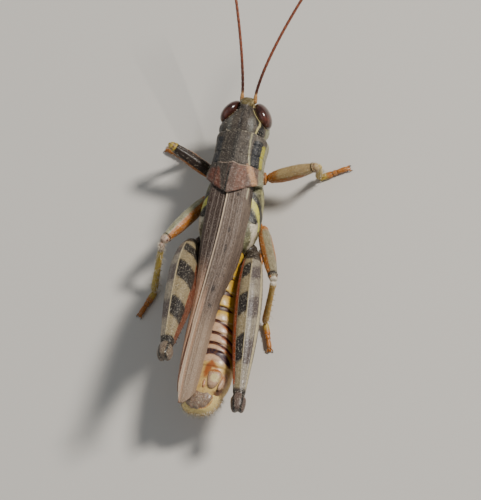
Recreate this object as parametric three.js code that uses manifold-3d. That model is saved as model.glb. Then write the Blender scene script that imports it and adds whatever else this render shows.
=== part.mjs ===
// A male spur-throated grasshopper, standing, at its real size in millimetres. +Z is up, the head points
// to -Y and the animal's left side is at +X. Every plate, wing and leg segment is a closed solid of its
// own, and the feet stand on small flats at z = 0. Distances along the body are counted from mid-body,
// forward being negative.

import * as THREE from 'three';
import { mergeVertices } from 'three/addons/utils/BufferGeometryUtils.js';
import Module from 'manifold-3d';

const wasm = await Module();
wasm.setup();

// ---------------------------------------------------------------- driving sizes

const LEFT = 1;
const RIGHT = -1;
const CLEARANCE = 0.05; // between a piece and the neighbour that it is shaped round
const PLATE = 0.5; // thickness of the folded wings

const HEAD = { side: 0.1, top: 5.5, mouth: 1.45, middle: -9.1, halfWidth: 1.5 };
const EYE = { side: 0.96, along: -9.3, height: 4.04, half: [0.6, 0.92, 0.96] };
const EYE_TURN = { pitch: 0.3, roll: 0.08, toeIn: 0.46 };
const ANTENNA = { half: 0.25, rootSide: 0.44, rootAlong: -10.2, rootHeight: 4.5 };
const PRONOTUM = { front: -8.1, rear: -3.5, corner: -4.85, halfWidth: 1.72, ridge: 5.6, sternum: 1.85 };
const THORAX = { front: -5.6, rear: -0.5, halfWidth: 1.95, top: 4.95, belly: 1.55 };
const ABDOMEN = { front: -1.5, rear: 9.75, halfWidth: 1.38, middle: 2.9, rise: 1.2, drop: 1.15 };
const SEGMENTS = 9;
const TEGMEN = { front: -5.6, rear: 10.15, ridge: 5.5, ridgeAtTip: 4.55, shoulder: 0.42, splay: 0.16 };
const SOLE = 0.24; // half the width of a foot

// The jointed skeleton: where each leg leaves the body, its knee, its ankle and the tip of its foot.
const LEGS = {
  fore_leg_R: { root: [-1.35, -6.05, 2.3], knee: [-5.05, -6.9, 3.6], ankle: [-4.5, -7.2], toe: [-6.3, -8.2] },
  fore_leg_L: { root: [1.35, -5.7, 2.1], knee: [4.75, -6.95, 3.9], ankle: [4.15, -7.2], toe: [5.9, -7.8] },
  mid_leg_R: { root: [-1.6, -2.85, 2.1], knee: [-3.76, 1.1, 3.75], ankle: [-2.97, 2.95], toe: [-3.6, 4.7] },
  mid_leg_L: { root: [1.65, -4.3, 2.1], knee: [3.86, -0.38, 4], ankle: [4.6, 1.9], toe: [5.3, 3.62] },
  hind_leg_R: { root: [-1.95, -0.75, 3.1], knee: [-3.3, 10.1, 4.3], ankle: [-1.85, 0.75], toe: [-1.8, -2] },
  hind_leg_L: { root: [2.05, -0.8, 3.15], knee: [1.1, 8.48, 8.35], ankle: [2.35, 2.4], toe: [2.75, -0.3] },
};
const ANKLE_HEIGHT = 0.5;

// ---------------------------------------------------------------- finishes

const finish = (color, roughness = 0.5) =>
  new THREE.MeshStandardMaterial({ color, roughness, metalness: 0 });
const FINISHES = {
  headShell: finish(0x4d473c),
  eye: finish(0x4a1c14, 0.15),
  antenna: finish(0x8a4526, 0.4),
  mouthparts: finish(0x6f6140),
  pronotum: finish(0x5d4b3f),
  thoraxShell: finish(0x8b8a4a),
  abdomen: finish(0xc79a45, 0.4),
  genitalCap: finish(0xcaa24a, 0.4),
  tegmen: finish(0x84705f),
  hindWing: finish(0xb8ab93, 0.35),
  walkingLeg: finish(0x9a6f35),
  hindFemur: finish(0x8a7d68),
  hindTibia: finish(0xa8431c),
  foot: finish(0xa8652a),
};

// ---------------------------------------------------------------- shaping tools

/** A smooth reading of rows that each start with their place, by cubic interpolation between them. */
function reader(rows) {
  const places = rows.map((row) => row[0]);
  const values = rows.flatMap((row) => row.slice(1));
  const size = rows[0].length - 1;
  const spline = new THREE.CubicInterpolant(places, values, size, new Float64Array(size));
  return (place) => Array.from(spline.evaluate(place));
}

const SEAM = 1e-9; // below this a direction counts as lying on the seam
const signedPower = (value, power) =>
  Math.abs(value) < SEAM ? 0 : Math.sign(value) * Math.abs(value) ** power;

/**
 * A closed form along Y: a sphere whose rings take their middle and sizes from rows of
 * [along, side, height, half width, rise, drop]. `blunt` squares its ends and `square` its sections.
 * The rings crowd towards the ends, or are `even`, and `shape` may move each finished point.
 */
function form(rows, { around = 12, along = 12, blunt = 3, square = 2.2, even = false, shape } = {}) {
  const ball = new THREE.SphereGeometry(1, around, along);
  const read = reader(rows);
  const start = rows[0][0];
  const length = rows.at(-1)[0] - start;
  const point = new THREE.Vector3();
  const position = ball.attributes.position;
  for (let i = 0; i < position.count; i += 1) {
    point.fromBufferAttribute(position, i);
    const share = even ? Math.acos(THREE.MathUtils.clamp(point.y, -1, 1)) / Math.PI : (1 - point.y) / 2;
    const round = (1 - Math.abs(2 * share - 1) ** blunt) ** (1 / blunt);
    const angle = Math.atan2(point.z, point.x);
    const [side, height, half, rise, drop] = read(start + length * share);
    const across = signedPower(Math.cos(angle), 2 / square);
    const lift = signedPower(Math.sin(angle), 2 / square);
    const place = start + length * share;
    point.set(side + half * round * across, place, height + (lift > 0 ? rise : drop) * round * lift);
    if (shape) shape(point, { share, across: round * across, lift: round * lift, round });
    position.setXYZ(i, point.x, point.y, point.z);
  }
  return closed(ball);
}

/** The same surface with only positions, each shared corner once, and its faces pointing out. */
function closed(geometry) {
  geometry.deleteAttribute('normal');
  geometry.deleteAttribute('uv');
  const shared = mergeVertices(geometry, 1e-5);
  const kept = [];
  const index = shared.index.array;
  for (let i = 0; i < index.length; i += 3) {
    const [a, b, c] = index.slice(i, i + 3);
    if (a !== b && b !== c && c !== a) kept.push(a, b, c);
  }
  shared.setIndex(kept);
  if (enclosedVolume(shared) < 0) {
    for (let i = 0; i < kept.length; i += 3) [kept[i], kept[i + 1]] = [kept[i + 1], kept[i]];
    shared.setIndex(kept);
  }
  return shared;
}

function enclosedVolume(geometry) {
  const corners = [new THREE.Vector3(), new THREE.Vector3(), new THREE.Vector3()];
  const index = geometry.index.array;
  let volume = 0;
  for (let i = 0; i < index.length; i += 3) {
    corners.forEach((corner, k) => corner.fromBufferAttribute(geometry.attributes.position, index[i + k]));
    volume += corners[0].dot(corners[1].cross(corners[2])) / 6;
  }
  return volume;
}

/** A piece turned so that its length, local +Y, runs from one point to the other, and +Z leans to `up`. */
function lay(mesh, from, to, up = [0, 0, 1]) {
  const start = new THREE.Vector3(...from);
  const alongAxis = new THREE.Vector3(...to).sub(start).normalize();
  const sideAxis = alongAxis.clone().cross(new THREE.Vector3(...up)).normalize();
  const upAxis = sideAxis.clone().cross(alongAxis);
  mesh.quaternion.setFromRotationMatrix(new THREE.Matrix4().makeBasis(sideAxis, alongAxis, upAxis));
  mesh.position.copy(start);
  mesh.updateMatrixWorld(true);
  return mesh;
}

const distance = (from, to) => new THREE.Vector3(...from).distanceTo(new THREE.Vector3(...to));

const insect = new THREE.Group();

function piece(name, geometry, material) {
  const mesh = new THREE.Mesh(geometry, material.clone());
  mesh.name = name;
  insect.add(mesh);
  return mesh;
}

function toSolid(geometry) {
  const { position } = geometry.attributes;
  const vertProperties = new Float32Array(position.array);
  const triVerts = new Uint32Array(geometry.index.array);
  return new wasm.Manifold(new wasm.Mesh({ numProp: 3, vertProperties, triVerts }));
}

function toGeometry(solid) {
  const { vertProperties, triVerts } = solid.getMesh();
  const geometry = new THREE.BufferGeometry();
  geometry.setAttribute('position', new THREE.BufferAttribute(vertProperties, 3));
  geometry.setIndex(Array.from(triVerts));
  return geometry;
}

/** The geometry with its skin moved outward by the clearance. */
function swollen(geometry, gap = CLEARANCE) {
  const larger = geometry.clone();
  larger.computeVertexNormals();
  const { position, normal } = larger.attributes;
  for (let i = 0; i < position.count; i += 1) {
    position.setXYZ(
      i,
      position.getX(i) + normal.getX(i) * gap,
      position.getY(i) + normal.getY(i) * gap,
      position.getZ(i) + normal.getZ(i) * gap,
    );
  }
  larger.deleteAttribute('normal');
  return larger;
}

/** Shapes a piece round its neighbours: each one, swollen by the clearance, is taken out of it. */
function fitAround(mesh, ...neighbours) {
  const toLocal = mesh.matrixWorld.clone().invert();
  let solid = toSolid(mesh.geometry);
  for (const neighbour of neighbours) {
    const cutter = swollen(neighbour.geometry);
    cutter.applyMatrix4(toLocal.clone().multiply(neighbour.matrixWorld));
    solid = solid.subtract(toSolid(cutter));
  }
  mesh.geometry = toGeometry(largestBody(solid));
  return mesh;
}

const largestBody = (solid) => solid.decompose().reduce((a, b) => (a.volume() > b.volume() ? a : b));

/** Cuts off whatever of a piece lies below the floor. */
function standOnFloor(mesh) {
  const depth = 4;
  const ground = new THREE.BoxGeometry(60, 60, depth);
  ground.translate(0, 0, -depth / 2);
  const cutter = closed(ground).applyMatrix4(mesh.matrixWorld.clone().invert());
  mesh.geometry = toGeometry(largestBody(toSolid(mesh.geometry).subtract(toSolid(cutter))));
  return mesh;
}

// ---------------------------------------------------------------- head

/** The capsule of the head, built up its height from the mouth to the crown, `rise` being forward. */
function makeHead() {
  const { side, top, mouth, middle, halfWidth } = HEAD;
  const forward = -middle;
  const skull = form(
    [
      [mouth, side, forward - 0.1, 0.6 * halfWidth, 0.72, 0.9],
      [2.2, side, forward - 0.05, 0.84 * halfWidth, 0.92, 1.4],
      [3.1, side, forward, 0.92 * halfWidth, 1.05, 1.75],
      [4.0, side, forward, 0.98 * halfWidth, 1.12, 1.9],
      [4.8, side, forward, halfWidth, 1.15, 2.0],
      [top, side, forward, 0.94 * halfWidth, 1.1, 2.1],
    ],
    {
      around: 16,
      along: 12,
      blunt: 2.9,
      square: 2.2,
      shape(point) {
        const crown = THREE.MathUtils.smoothstep(point.y, 3.3, 4.8);
        const muzzle = THREE.MathUtils.smoothstep(point.z, forward - 0.9, forward + 0.8);
        point.x = side + (point.x - side) * (1 - 0.6 * crown * muzzle); // the crown narrows between the eyes
        point.y -= 0.22 * crown * muzzle; // and slopes down to the brow
      },
    },
  );
  const costa = form(
    [
      [2.3, side, forward + 0.74, 0.2, 0.3, 0.3],
      [3.6, side, forward + 0.95, 0.26, 0.34, 0.3],
      [4.75, side, forward + 1.02, 0.42, 0.4, 0.5],
      [5.3, side, forward + 0.72, 0.46, 0.42, 0.7],
    ],
    { around: 8, along: 8, blunt: 3 },
  );
  const capsule = toGeometry(toSolid(skull).add(toSolid(costa)));
  capsule.rotateX(Math.PI / 2);
  return piece('head', capsule, FINISHES.headShell);
}

function makeEye(name, side) {
  const ball = closed(new THREE.SphereGeometry(1, 12, 9));
  ball.scale(...EYE.half);
  const mesh = piece(name, ball, FINISHES.eye);
  mesh.position.set(HEAD.side + side * EYE.side, EYE.along, EYE.height);
  mesh.rotation.set(EYE_TURN.pitch, -side * EYE_TURN.roll, side * EYE_TURN.toeIn, 'ZYX');
  mesh.updateMatrixWorld(true);
  return mesh;
}

/** A feeler, from its socket in the face to its tip; `spread` and `climb` are where the tip ends up. */
function makeAntenna(name, side, { spread, climb, reach }) {
  const { half, rootSide, rootAlong, rootHeight } = ANTENNA;
  const rows = [1, 0.8, 0.6, 0.4, 0.2, 0.08, 0].map((share) => {
    const outward = rootSide + spread * Math.max(0, share - 0.06) ** 1.35;
    const across = side * outward + HEAD.side * (1 - share);
    const height = rootHeight + climb * share ** 0.9;
    return [rootAlong - reach * share, across, height, half, half, half];
  });
  return piece(name, form(rows, { around: 8, along: 13, blunt: 6, square: 2 }), FINISHES.antenna);
}

function makeMouthparts() {
  const forward = -HEAD.middle;
  const turnUp = (geometry) => geometry.rotateX(Math.PI / 2);
  const lip = form(
    [
      [1.3, 0, forward + 0.42, 0.42, 0.25, 0.25],
      [1.7, 0, forward + 0.6, 0.55, 0.25, 0.25],
      [2.4, 0, forward + 0.8, 0.5, 0.25, 0.25],
    ],
    { around: 8, along: 7, blunt: 4 },
  );
  const pieces = [piece('upper_lip', turnUp(lip), FINISHES.mouthparts)];
  for (const [suffix, side] of [['L', LEFT], ['R', RIGHT]]) {
    const jaw = form(
      [
        [1.25, side * 0.42, forward + 0.1, 0.32, 0.35, 0.35],
        [1.7, side * 0.62, forward + 0.15, 0.36, 0.42, 0.45],
        [2.3, side * 0.86, forward + 0.2, 0.34, 0.4, 0.45],
      ],
      { around: 7, along: 5, blunt: 3 },
    );
    pieces.push(piece(`mandible_${suffix}`, turnUp(jaw), FINISHES.mouthparts));
    const palp = form(
      [
        [-9.8, side * 0.74, 0.92, 0.2, 0.2, 0.2],
        [-9.4, side * 0.8, 0.96, 0.2, 0.2, 0.2],
        [-9.0, side * 0.75, 1.12, 0.2, 0.2, 0.2],
        [-8.6, side * 0.62, 1.45, 0.2, 0.2, 0.2],
      ],
      { around: 8, along: 7, blunt: 4, square: 2 },
    );
    pieces.push(piece(`palp_${suffix}`, palp, FINISHES.mouthparts));
  }
  const labium = form(
    [
      [-8.9, 0, 1.3, 0.45, 0.25, 0.25],
      [-8.4, 0, 1.45, 0.55, 0.3, 0.25],
      [-8.0, 0, 1.8, 0.45, 0.3, 0.25],
    ],
    { around: 8, along: 6, blunt: 3 },
  );
  pieces.push(piece('labium', labium, FINISHES.mouthparts));
  pieces.forEach(({ geometry }) => geometry.translate(HEAD.side, 0, 0)); // in line with the head
  return pieces;
}

// ---------------------------------------------------------------- trunk

/** The saddle over the front of the trunk, its back edge drawn out to a blunt point over the wings. */
function makePronotum() {
  const { front, rear, corner, halfWidth, ridge, sternum } = PRONOTUM;
  const middle = 3.9;
  const rows = [
    [0, 0, middle, halfWidth, ridge - middle - 0.12, middle - sternum - 0.35],
    [0.25, 0, middle, 0.95 * halfWidth, ridge - middle - 0.05, middle - sternum - 0.1],
    [0.5, 0, middle, 0.94 * halfWidth, ridge - middle, middle - sternum],
    [0.75, 0, middle, 0.99 * halfWidth, ridge - middle + 0.05, middle - sternum],
    [1, 0, middle, 1.08 * halfWidth, ridge - middle + 0.1, middle - sternum - 0.15],
  ];
  const saddle = form(rows, {
    around: 20,
    along: 10,
    blunt: 14,
    square: 2.6,
    shape(point, { share, across, lift }) {
      const height = Math.max(0, lift);
      const backEdge = THREE.MathUtils.lerp(corner, rear, height ** 1.3 * (1 - 0.6 * Math.abs(across)));
      const frontEdge = front + 0.25 * (1 - height) + 0.1 * Math.abs(across);
      point.y = THREE.MathUtils.lerp(frontEdge, backEdge, share);
      point.x *= 1 - 0.1 * THREE.MathUtils.smoothstep(-point.z, -middle, -middle + 1.2); // the lobes lean in
      if (lift > 0) point.z += 0.08 * Math.exp(-((point.x / 0.25) ** 2));
    },
  });
  return piece('pronotum', saddle, FINISHES.pronotum);
}

function makeThorax() {
  const { front, rear, halfWidth, top, belly } = THORAX;
  const middle = 2.95;
  const rows = [
    [front, 0, middle, 0.86 * halfWidth, top - middle, middle - belly],
    [-3.8, 0, middle, 0.98 * halfWidth, top - middle, middle - belly],
    [-2.2, 0, middle, halfWidth, top - middle, middle - belly],
    [rear, 0, middle, 0.8 * halfWidth, top - middle - 0.2, middle - belly - 0.05],
  ];
  const trunk = form(rows, {
    around: 14,
    along: 8,
    blunt: 6,
    square: 2.2,
    shape(point) {
      point.x *= 1 - 0.66 * THREE.MathUtils.smoothstep(point.z, 3.6, 4.7); // drawn in under the wings
    },
  });
  return piece('thorax', trunk, FINISHES.thoraxShell);
}

/** How far the abdomen's middle line lies to the side, at a distance along the body. */
function abdomenSwing(along) {
  const toTheRight = -0.98 * THREE.MathUtils.smoothstep(along, 0, 8.4);
  const backAtTheTip = 0.24 * Math.max(0, along - 7.6);
  return toTheRight + backAtTheTip;
}

function makeAbdomen() {
  const { front, rear, halfWidth, middle, rise, drop } = ABDOMEN;
  const rows = [front, 1, 3.5, 6, 8, rear].map((along, i) => {
    const fullness = [0.95, 1, 0.98, 0.97, 0.96, 0.84][i];
    return [along, abdomenSwing(along), middle, halfWidth * fullness, rise * fullness, drop * fullness];
  });
  const belly = form(rows, {
    around: 14,
    along: 2 * SEGMENTS,
    blunt: 6,
    square: 2,
    even: true,
    shape(point, { share, round }) {
      const step = (share * SEGMENTS + 0.25) % 1 > 0.5 ? 1 : 0; // each ring is fuller at its back edge
      const swell = 1 + 0.04 * step * round;
      point.x = abdomenSwing(point.y) + (point.x - abdomenSwing(point.y)) * swell;
      point.z = middle + (point.z - middle) * swell;
    },
  });
  return piece('abdomen', belly, FINISHES.abdomen);
}

/** The upturned cup that closes a male's abdomen, and what lies in and over it. */
function makeTail(abdomen) {
  const cup = form(
    [
      [8.35, abdomenSwing(8.35), 2.78, 1.22, 0.95, 1.02],
      [9.3, abdomenSwing(9.3), 2.84, 1.2, 1.0, 1.05],
      [10.3, abdomenSwing(10.3), 3.0, 1.04, 0.82, 0.95],
    ],
    { around: 10, along: 8, blunt: 3, square: 2.2 },
  );
  const cap = piece('subgenital_plate', cup, FINISHES.genitalCap);
  const membrane = form(
    [
      [8.75, -0.72, 3.45, 0.66, 0.42, 0.3],
      [9.4, -0.5, 3.5, 0.76, 0.48, 0.3],
      [10.15, -0.33, 3.5, 0.62, 0.42, 0.3],
    ],
    { around: 10, along: 7, blunt: 3 },
  );
  const pallium = piece('pallium', membrane, FINISHES.genitalCap);
  const shield = form(
    [
      [7.5, -1.32, 3.96, 0.44, 0.26, 0.4],
      [8.1, -1.3, 3.98, 0.41, 0.26, 0.4],
      [8.75, -1.22, 3.94, 0.28, 0.24, 0.4],
    ],
    { around: 10, along: 7, blunt: 3 },
  );
  const epiproct = piece('supra_anal_plate', shield, FINISHES.genitalCap);
  fitAround(cap, abdomen);
  const cerci = [['L', LEFT], ['R', RIGHT]].map(([suffix, side]) => {
    const cercus = piece(
      `cercus_${suffix}`,
      form(
        [
          [0, 0, 0, 0.22, 0.22, 0.22],
          [0.5, 0, 0, 0.2, 0.22, 0.22],
          [0.95, 0, 0, 0.18, 0.24, 0.24],
        ],
        { around: 8, along: 6, blunt: 3, square: 2 },
      ),
      FINISHES.genitalCap,
    );
    const lift = side * 0.08; // the abdomen's back falls away to the right
    lay(cercus, [-1.3 + side * 0.56, 7.85, 3.62 + lift], [-1.22 + side * 0.48, 8.75, 3.9 + lift]);
    return fitAround(cercus, abdomen, epiproct, cap, pallium);
  });
  fitAround(pallium, abdomen, cap, epiproct);
  return { cap, pallium, epiproct, cerci };
}

// ---------------------------------------------------------------- wings

/** The height of the wings' ridge, and how far its line lies to the left, at a distance along the body. */
const ridgeHeight = (along) => {
  const back = THREE.MathUtils.clamp((along + 4) / 14.2, 0, 1);
  return THREE.MathUtils.lerp(TEGMEN.ridge, TEGMEN.ridgeAtTip, back ** 1.6);
};
const ridgeSwing = (along) => 0.3 * THREE.MathUtils.smoothstep(along, -2, 9);

/** How far the right fore wing's inner edge passes over the middle. */
const lap = (along) => 0.02 + 0.5 * THREE.MathUtils.smoothstep(along, -4, 10);

/**
 * A leathery fore wing folded along the body: a flat blade bent over the shoulder into a level field on
 * top and a steep one down the flank. The right one laps over the left.
 */
function makeTegmen(name, side, rear) {
  const { front, shoulder, splay } = TEGMEN;
  const fields = reader([
    [front, 0.8, 0.6],
    [-3.2, 0.86, 1.0],
    [-0.8, 0.76, 1.3],
    [1.3, 0.57, 1.25],
    [3, 0.37, 1.1],
    [6.4, 0.3, 0.95],
    [8.6, 0.2, 0.85],
    [rear, 0, 0.2],
  ]);
  const bend = Math.PI / 2 - splay;
  const rows = [front, rear].map((along) => [along, 0, 0, 1, PLATE / 2, PLATE / 2]);
  const blade = form(rows, {
    around: 14,
    along: 12,
    blunt: 6,
    square: 5,
    shape(point) {
      const [level, steep] = fields(point.y);
      const inner = side === RIGHT ? lap(point.y) : 0;
      const width = inner + level + shoulder * bend + steep;
      const across = ((point.x + 1) / 2) * width - inner;
      const turn = THREE.MathUtils.clamp((across - level) / shoulder, 0, bend);
      const past = Math.max(0, across - level - shoulder * bend);
      const depth = point.z - PLATE / 2;
      const flat = Math.min(across, level);
      const out = flat + (shoulder + depth) * Math.sin(turn) + past * Math.cos(turn);
      const drop = 0.12 * Math.abs(flat) + shoulder * (1 - Math.cos(turn)) + past * Math.sin(turn);
      point.x = side * out + ridgeSwing(point.y);
      point.z = ridgeHeight(point.y) - drop + depth * Math.cos(turn);
    },
  });
  return piece(name, blade, FINISHES.tegmen);
}

/** A hind wing, pleated like a fan and put away under the fore wings, the right one over the left. */
function makeHindWing(name, side) {
  const rows = [-3.2, 0, 3, 6.5].map((along) => {
    const layer = side === RIGHT ? 0.3 : 0.8;
    return [along, ridgeSwing(along), ridgeHeight(along) - PLATE - layer, 0.26, 0.22, 0.22];
  });
  return piece(name, form(rows, { around: 8, along: 7, blunt: 5, square: 2.8 }), FINISHES.hindWing);
}

/** The space that the folded wings take, which the trunk under them leaves free. */
function spaceUnderWings() {
  const rows = [
    [TEGMEN.front, 1.45, 4.4],
    [-3.2, 1.66, 3.98],
    [-0.8, 1.6, 3.6],
    [1.3, 1.36, 3.54],
    [3, 1.18, 3.58],
    [6.4, 1.05, 3.46],
    [TEGMEN.rear + 0.2, 1.1, 3.0],
  ];
  const full = rows.map(([along, half, floor]) => [along, ridgeSwing(along), floor + 1.6, half, 1.6, 1.6]);
  const mesh = new THREE.Mesh(form(full, { around: 8, along: 9, blunt: 12, square: 9, even: true }));
  mesh.updateMatrixWorld(true);
  return mesh;
}

// ---------------------------------------------------------------- legs

/** A leg segment from one joint to the next; each row is [share of length, half width, rise, drop]. */
function segment(name, from, to, rows, options, material, up) {
  const length = distance(from, to);
  const full = rows.map(([share, half, rise, drop]) => [share * length, 0, 0, half, rise, drop]);
  return lay(piece(name, form(full, options), material), from, to, up);
}

/** The foot: three padded joints and two claws on the floor, running from the ankle to its tip. */
function makeFoot(name, { ankle, toe }) {
  const start = [ankle[0], ankle[1], 0.24];
  const end = [toe[0], toe[1], 0.22];
  const rows = [
    [0, SOLE, 0.3, 0.3],
    [0.22, SOLE, 0.26, 0.3],
    [0.42, 0.9 * SOLE, 0.25, 0.3],
    [0.62, SOLE, 0.25, 0.3],
    [0.82, 0.95 * SOLE, 0.26, 0.3],
    [1, 1.1 * SOLE, 0.25, 0.3],
  ];
  const options = { around: 8, along: 7, blunt: 4, square: 2.4 };
  return standOnFloor(segment(name, start, end, rows, options, FINISHES.foot));
}

function makeWalkingLeg(name, joints) {
  const { root, knee } = joints;
  const ankle = [...joints.ankle, ANKLE_HEIGHT];
  const side = Math.sign(root[0]);
  const inner = [root[0] - side * 0.55, root[1] + 0.1, root[2] - 0.05];
  const outer = [root[0] + side * 0.3, root[1] - 0.02, root[2] - 0.12];
  const coxaRows = [
    [0, 0.5, 0.5, 0.5],
    [0.55, 0.5, 0.52, 0.52],
    [1, 0.36, 0.36, 0.4],
  ];
  const coxaOptions = { around: 8, along: 6, blunt: 3 };
  const coxa = segment(`${name}_coxa`, inner, outer, coxaRows, coxaOptions, FINISHES.walkingLeg);
  const femurRows = [
    [0, 0.34, 0.38, 0.38],
    [0.25, 0.44, 0.48, 0.48],
    [0.6, 0.44, 0.48, 0.48],
    [0.9, 0.33, 0.35, 0.36],
    [1, 0.33, 0.34, 0.37],
  ];
  const limbOptions = { around: 8, along: 8, blunt: 5 };
  const femur = segment(`${name}_femur`, outer, knee, femurRows, limbOptions, FINISHES.walkingLeg);
  const tibiaRows = [
    [0, 0.25, 0.27, 0.25],
    [0.12, 0.25, 0.25, 0.25],
    [0.6, 0.25, 0.25, 0.25],
    [1, 0.28, 0.28, 0.28],
  ];
  const top = new THREE.Vector3(...knee).lerp(new THREE.Vector3(...ankle), 0.02).toArray();
  const tibia = segment(`${name}_tibia`, top, ankle, tibiaRows, limbOptions, FINISHES.walkingLeg);
  const foot = makeFoot(`${name}_foot`, joints);
  fitAround(femur, coxa);
  fitAround(tibia, femur, foot);
  return { coxa, femur, tibia, foot };
}

/** Two rows of spines down the back of the hind shin, and the spurs at its end. */
function shinSpines(length) {
  const spines = [];
  const rowCount = 7;
  const spineLength = 0.55;
  for (const side of [LEFT, RIGHT]) {
    for (let i = 0; i < rowCount; i += 1) {
      const spine = new THREE.ConeGeometry(0.09, spineLength, 3, 1);
      spine.translate(0, spineLength / 2, 0);
      spine.rotateX(0.95);
      spine.rotateY(side * 0.75);
      spine.translate(side * 0.12, length * (0.3 + (0.6 * i) / (rowCount - 1)), 0.08);
      spines.push(closed(spine));
    }
  }
  return spines;
}

function makeHindLeg(name, joints, lean) {
  const { root, knee } = joints;
  const ankle = [...joints.ankle, ANKLE_HEIGHT];
  const side = Math.sign(root[0]);
  const hip = [root[0] - side * 0.75, root[1] - 0.35, root[2] - 0.75];
  const hipEnd = [root[0] - side * 0.05, root[1] - 0.05, root[2] - 0.25];
  const hipRows = [
    [0, 0.55, 0.6, 0.6],
    [0.5, 0.55, 0.62, 0.6],
    [1, 0.42, 0.5, 0.5],
  ];
  const hipOptions = { around: 8, along: 6, blunt: 3 };
  const coxa = segment(`${name}_coxa`, hip, hipEnd, hipRows, hipOptions, FINISHES.walkingLeg);
  const femurRows = [
    [0, 0.42, 0.62, 0.6],
    [0.1, 0.68, 1.02, 0.98],
    [0.25, 0.84, 1.3, 1.22],
    [0.42, 0.85, 1.22, 1.12],
    [0.62, 0.72, 0.92, 0.84],
    [0.8, 0.51, 0.56, 0.52],
    [0.89, 0.42, 0.44, 0.42],
    [0.95, 0.53, 0.58, 0.58],
    [1, 0.5, 0.58, 0.6],
  ];
  const femurOptions = { around: 12, along: 13, blunt: 6, square: 2.5 };
  const femur = segment(`${name}_femur`, root, knee, femurRows, femurOptions, FINISHES.hindFemur, lean);
  const bend = new THREE.Vector3(...knee).lerp(new THREE.Vector3(...root), 0.03);
  const top = [bend.x, bend.y, bend.z - 0.12];
  const length = distance(top, ankle);
  const tibiaRows = [
    [0, 0.28, 0.3, 0.28],
    [0.08, 0.26, 0.28, 0.28],
    [0.5, 0.25, 0.25, 0.25],
    [0.92, 0.29, 0.28, 0.28],
    [1, 0.36, 0.32, 0.32],
  ];
  const tibiaOptions = { around: 8, along: 9, blunt: 8 };
  const back = [0, 1, -0.35];
  const tibia = segment(`${name}_tibia`, top, ankle, tibiaRows, tibiaOptions, FINISHES.hindTibia, back);
  const foot = makeFoot(`${name}_foot`, joints);
  fitAround(femur, coxa);
  const bare = toSolid(tibia.geometry);
  const armed = shinSpines(length).reduce((solid, spine) => solid.add(toSolid(spine)), bare);
  tibia.geometry = toGeometry(armed);
  fitAround(tibia, femur, foot);
  return { coxa, femur, tibia, foot };
}

// ---------------------------------------------------------------- assembly

const head = makeHead();
const eyes = [makeEye('eye_L', LEFT), makeEye('eye_R', RIGHT)];
const antennae = [
  makeAntenna('antenna_L', LEFT, { spread: 2.05, climb: 3.4, reach: 8.1 }),
  makeAntenna('antenna_R', RIGHT, { spread: 3.2, climb: 3.2, reach: 8.0 }),
];
const mouthparts = makeMouthparts();
const pronotum = makePronotum();
const thorax = makeThorax();
const abdomen = makeAbdomen();
const { cap, pallium, epiproct, cerci } = makeTail(abdomen);
const tegmenR = makeTegmen('tegmen_R', RIGHT, TEGMEN.rear);
const tegmenL = makeTegmen('tegmen_L', LEFT, TEGMEN.rear - 0.4);
const hindWings = [makeHindWing('hind_wing_L', LEFT), makeHindWing('hind_wing_R', RIGHT)];

const wingSpace = spaceUnderWings();

fitAround(tegmenR, pronotum);
fitAround(tegmenL, pronotum, tegmenR);
hindWings.forEach((wing) => fitAround(wing, tegmenL, tegmenR, pronotum));
fitAround(thorax, pronotum, wingSpace);
fitAround(abdomen, thorax, wingSpace);
fitAround(epiproct, abdomen, tegmenR);
[cap, pallium, ...cerci].forEach((part) => fitAround(part, tegmenL, tegmenR));
fitAround(head, pronotum);
[...eyes, ...antennae].forEach((part) => fitAround(part, head));
mouthparts.forEach((part, i) => fitAround(part, head, ...mouthparts.slice(0, i)));

const legs = [
  ...['fore_leg_R', 'fore_leg_L', 'mid_leg_R', 'mid_leg_L'].map((name) => makeWalkingLeg(name, LEGS[name])),
  makeHindLeg('hind_leg_R', LEGS.hind_leg_R, [-0.1, 0, 1]),
  makeHindLeg('hind_leg_L', LEGS.hind_leg_L, [0.1, 0, 1]),
];
for (const { coxa, femur } of legs) {
  fitAround(coxa, pronotum, thorax, abdomen);
  fitAround(femur, pronotum, thorax, abdomen, tegmenL, tegmenR);
}

// The origin is under the middle of the whole, on the floor.
const reach = new THREE.Box3().setFromObject(insect);
insect.position.set(-(reach.min.x + reach.max.x) / 2, -(reach.min.y + reach.max.y) / 2, 0);
insect.updateMatrixWorld(true);

export default insect;
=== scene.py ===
"""A museum model of a male spur-throated grasshopper, life size, standing with its wings folded."""

import functools
import math
import random

import bmesh
import bpy
from mathutils import Matrix, Vector, noise


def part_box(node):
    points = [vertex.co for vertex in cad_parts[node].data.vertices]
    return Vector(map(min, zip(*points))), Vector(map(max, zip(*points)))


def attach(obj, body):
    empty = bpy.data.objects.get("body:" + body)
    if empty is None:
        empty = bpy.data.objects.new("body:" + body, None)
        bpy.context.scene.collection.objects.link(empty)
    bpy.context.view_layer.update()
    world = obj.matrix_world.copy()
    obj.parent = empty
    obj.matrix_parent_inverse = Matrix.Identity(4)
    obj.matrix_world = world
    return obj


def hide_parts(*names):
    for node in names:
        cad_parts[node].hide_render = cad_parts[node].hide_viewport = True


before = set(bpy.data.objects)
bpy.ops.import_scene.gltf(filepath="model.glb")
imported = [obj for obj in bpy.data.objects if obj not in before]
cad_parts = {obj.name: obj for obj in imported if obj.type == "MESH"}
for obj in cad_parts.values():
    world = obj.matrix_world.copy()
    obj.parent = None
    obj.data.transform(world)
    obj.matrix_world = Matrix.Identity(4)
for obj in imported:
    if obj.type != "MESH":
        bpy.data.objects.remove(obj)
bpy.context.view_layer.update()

# ---- Floor, light and camera
# The model stands on a pale matt floor under a soft key light from its right front, with a wide
# fill. The camera looks down on it from behind and a little to its right, through a long lens.

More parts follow.
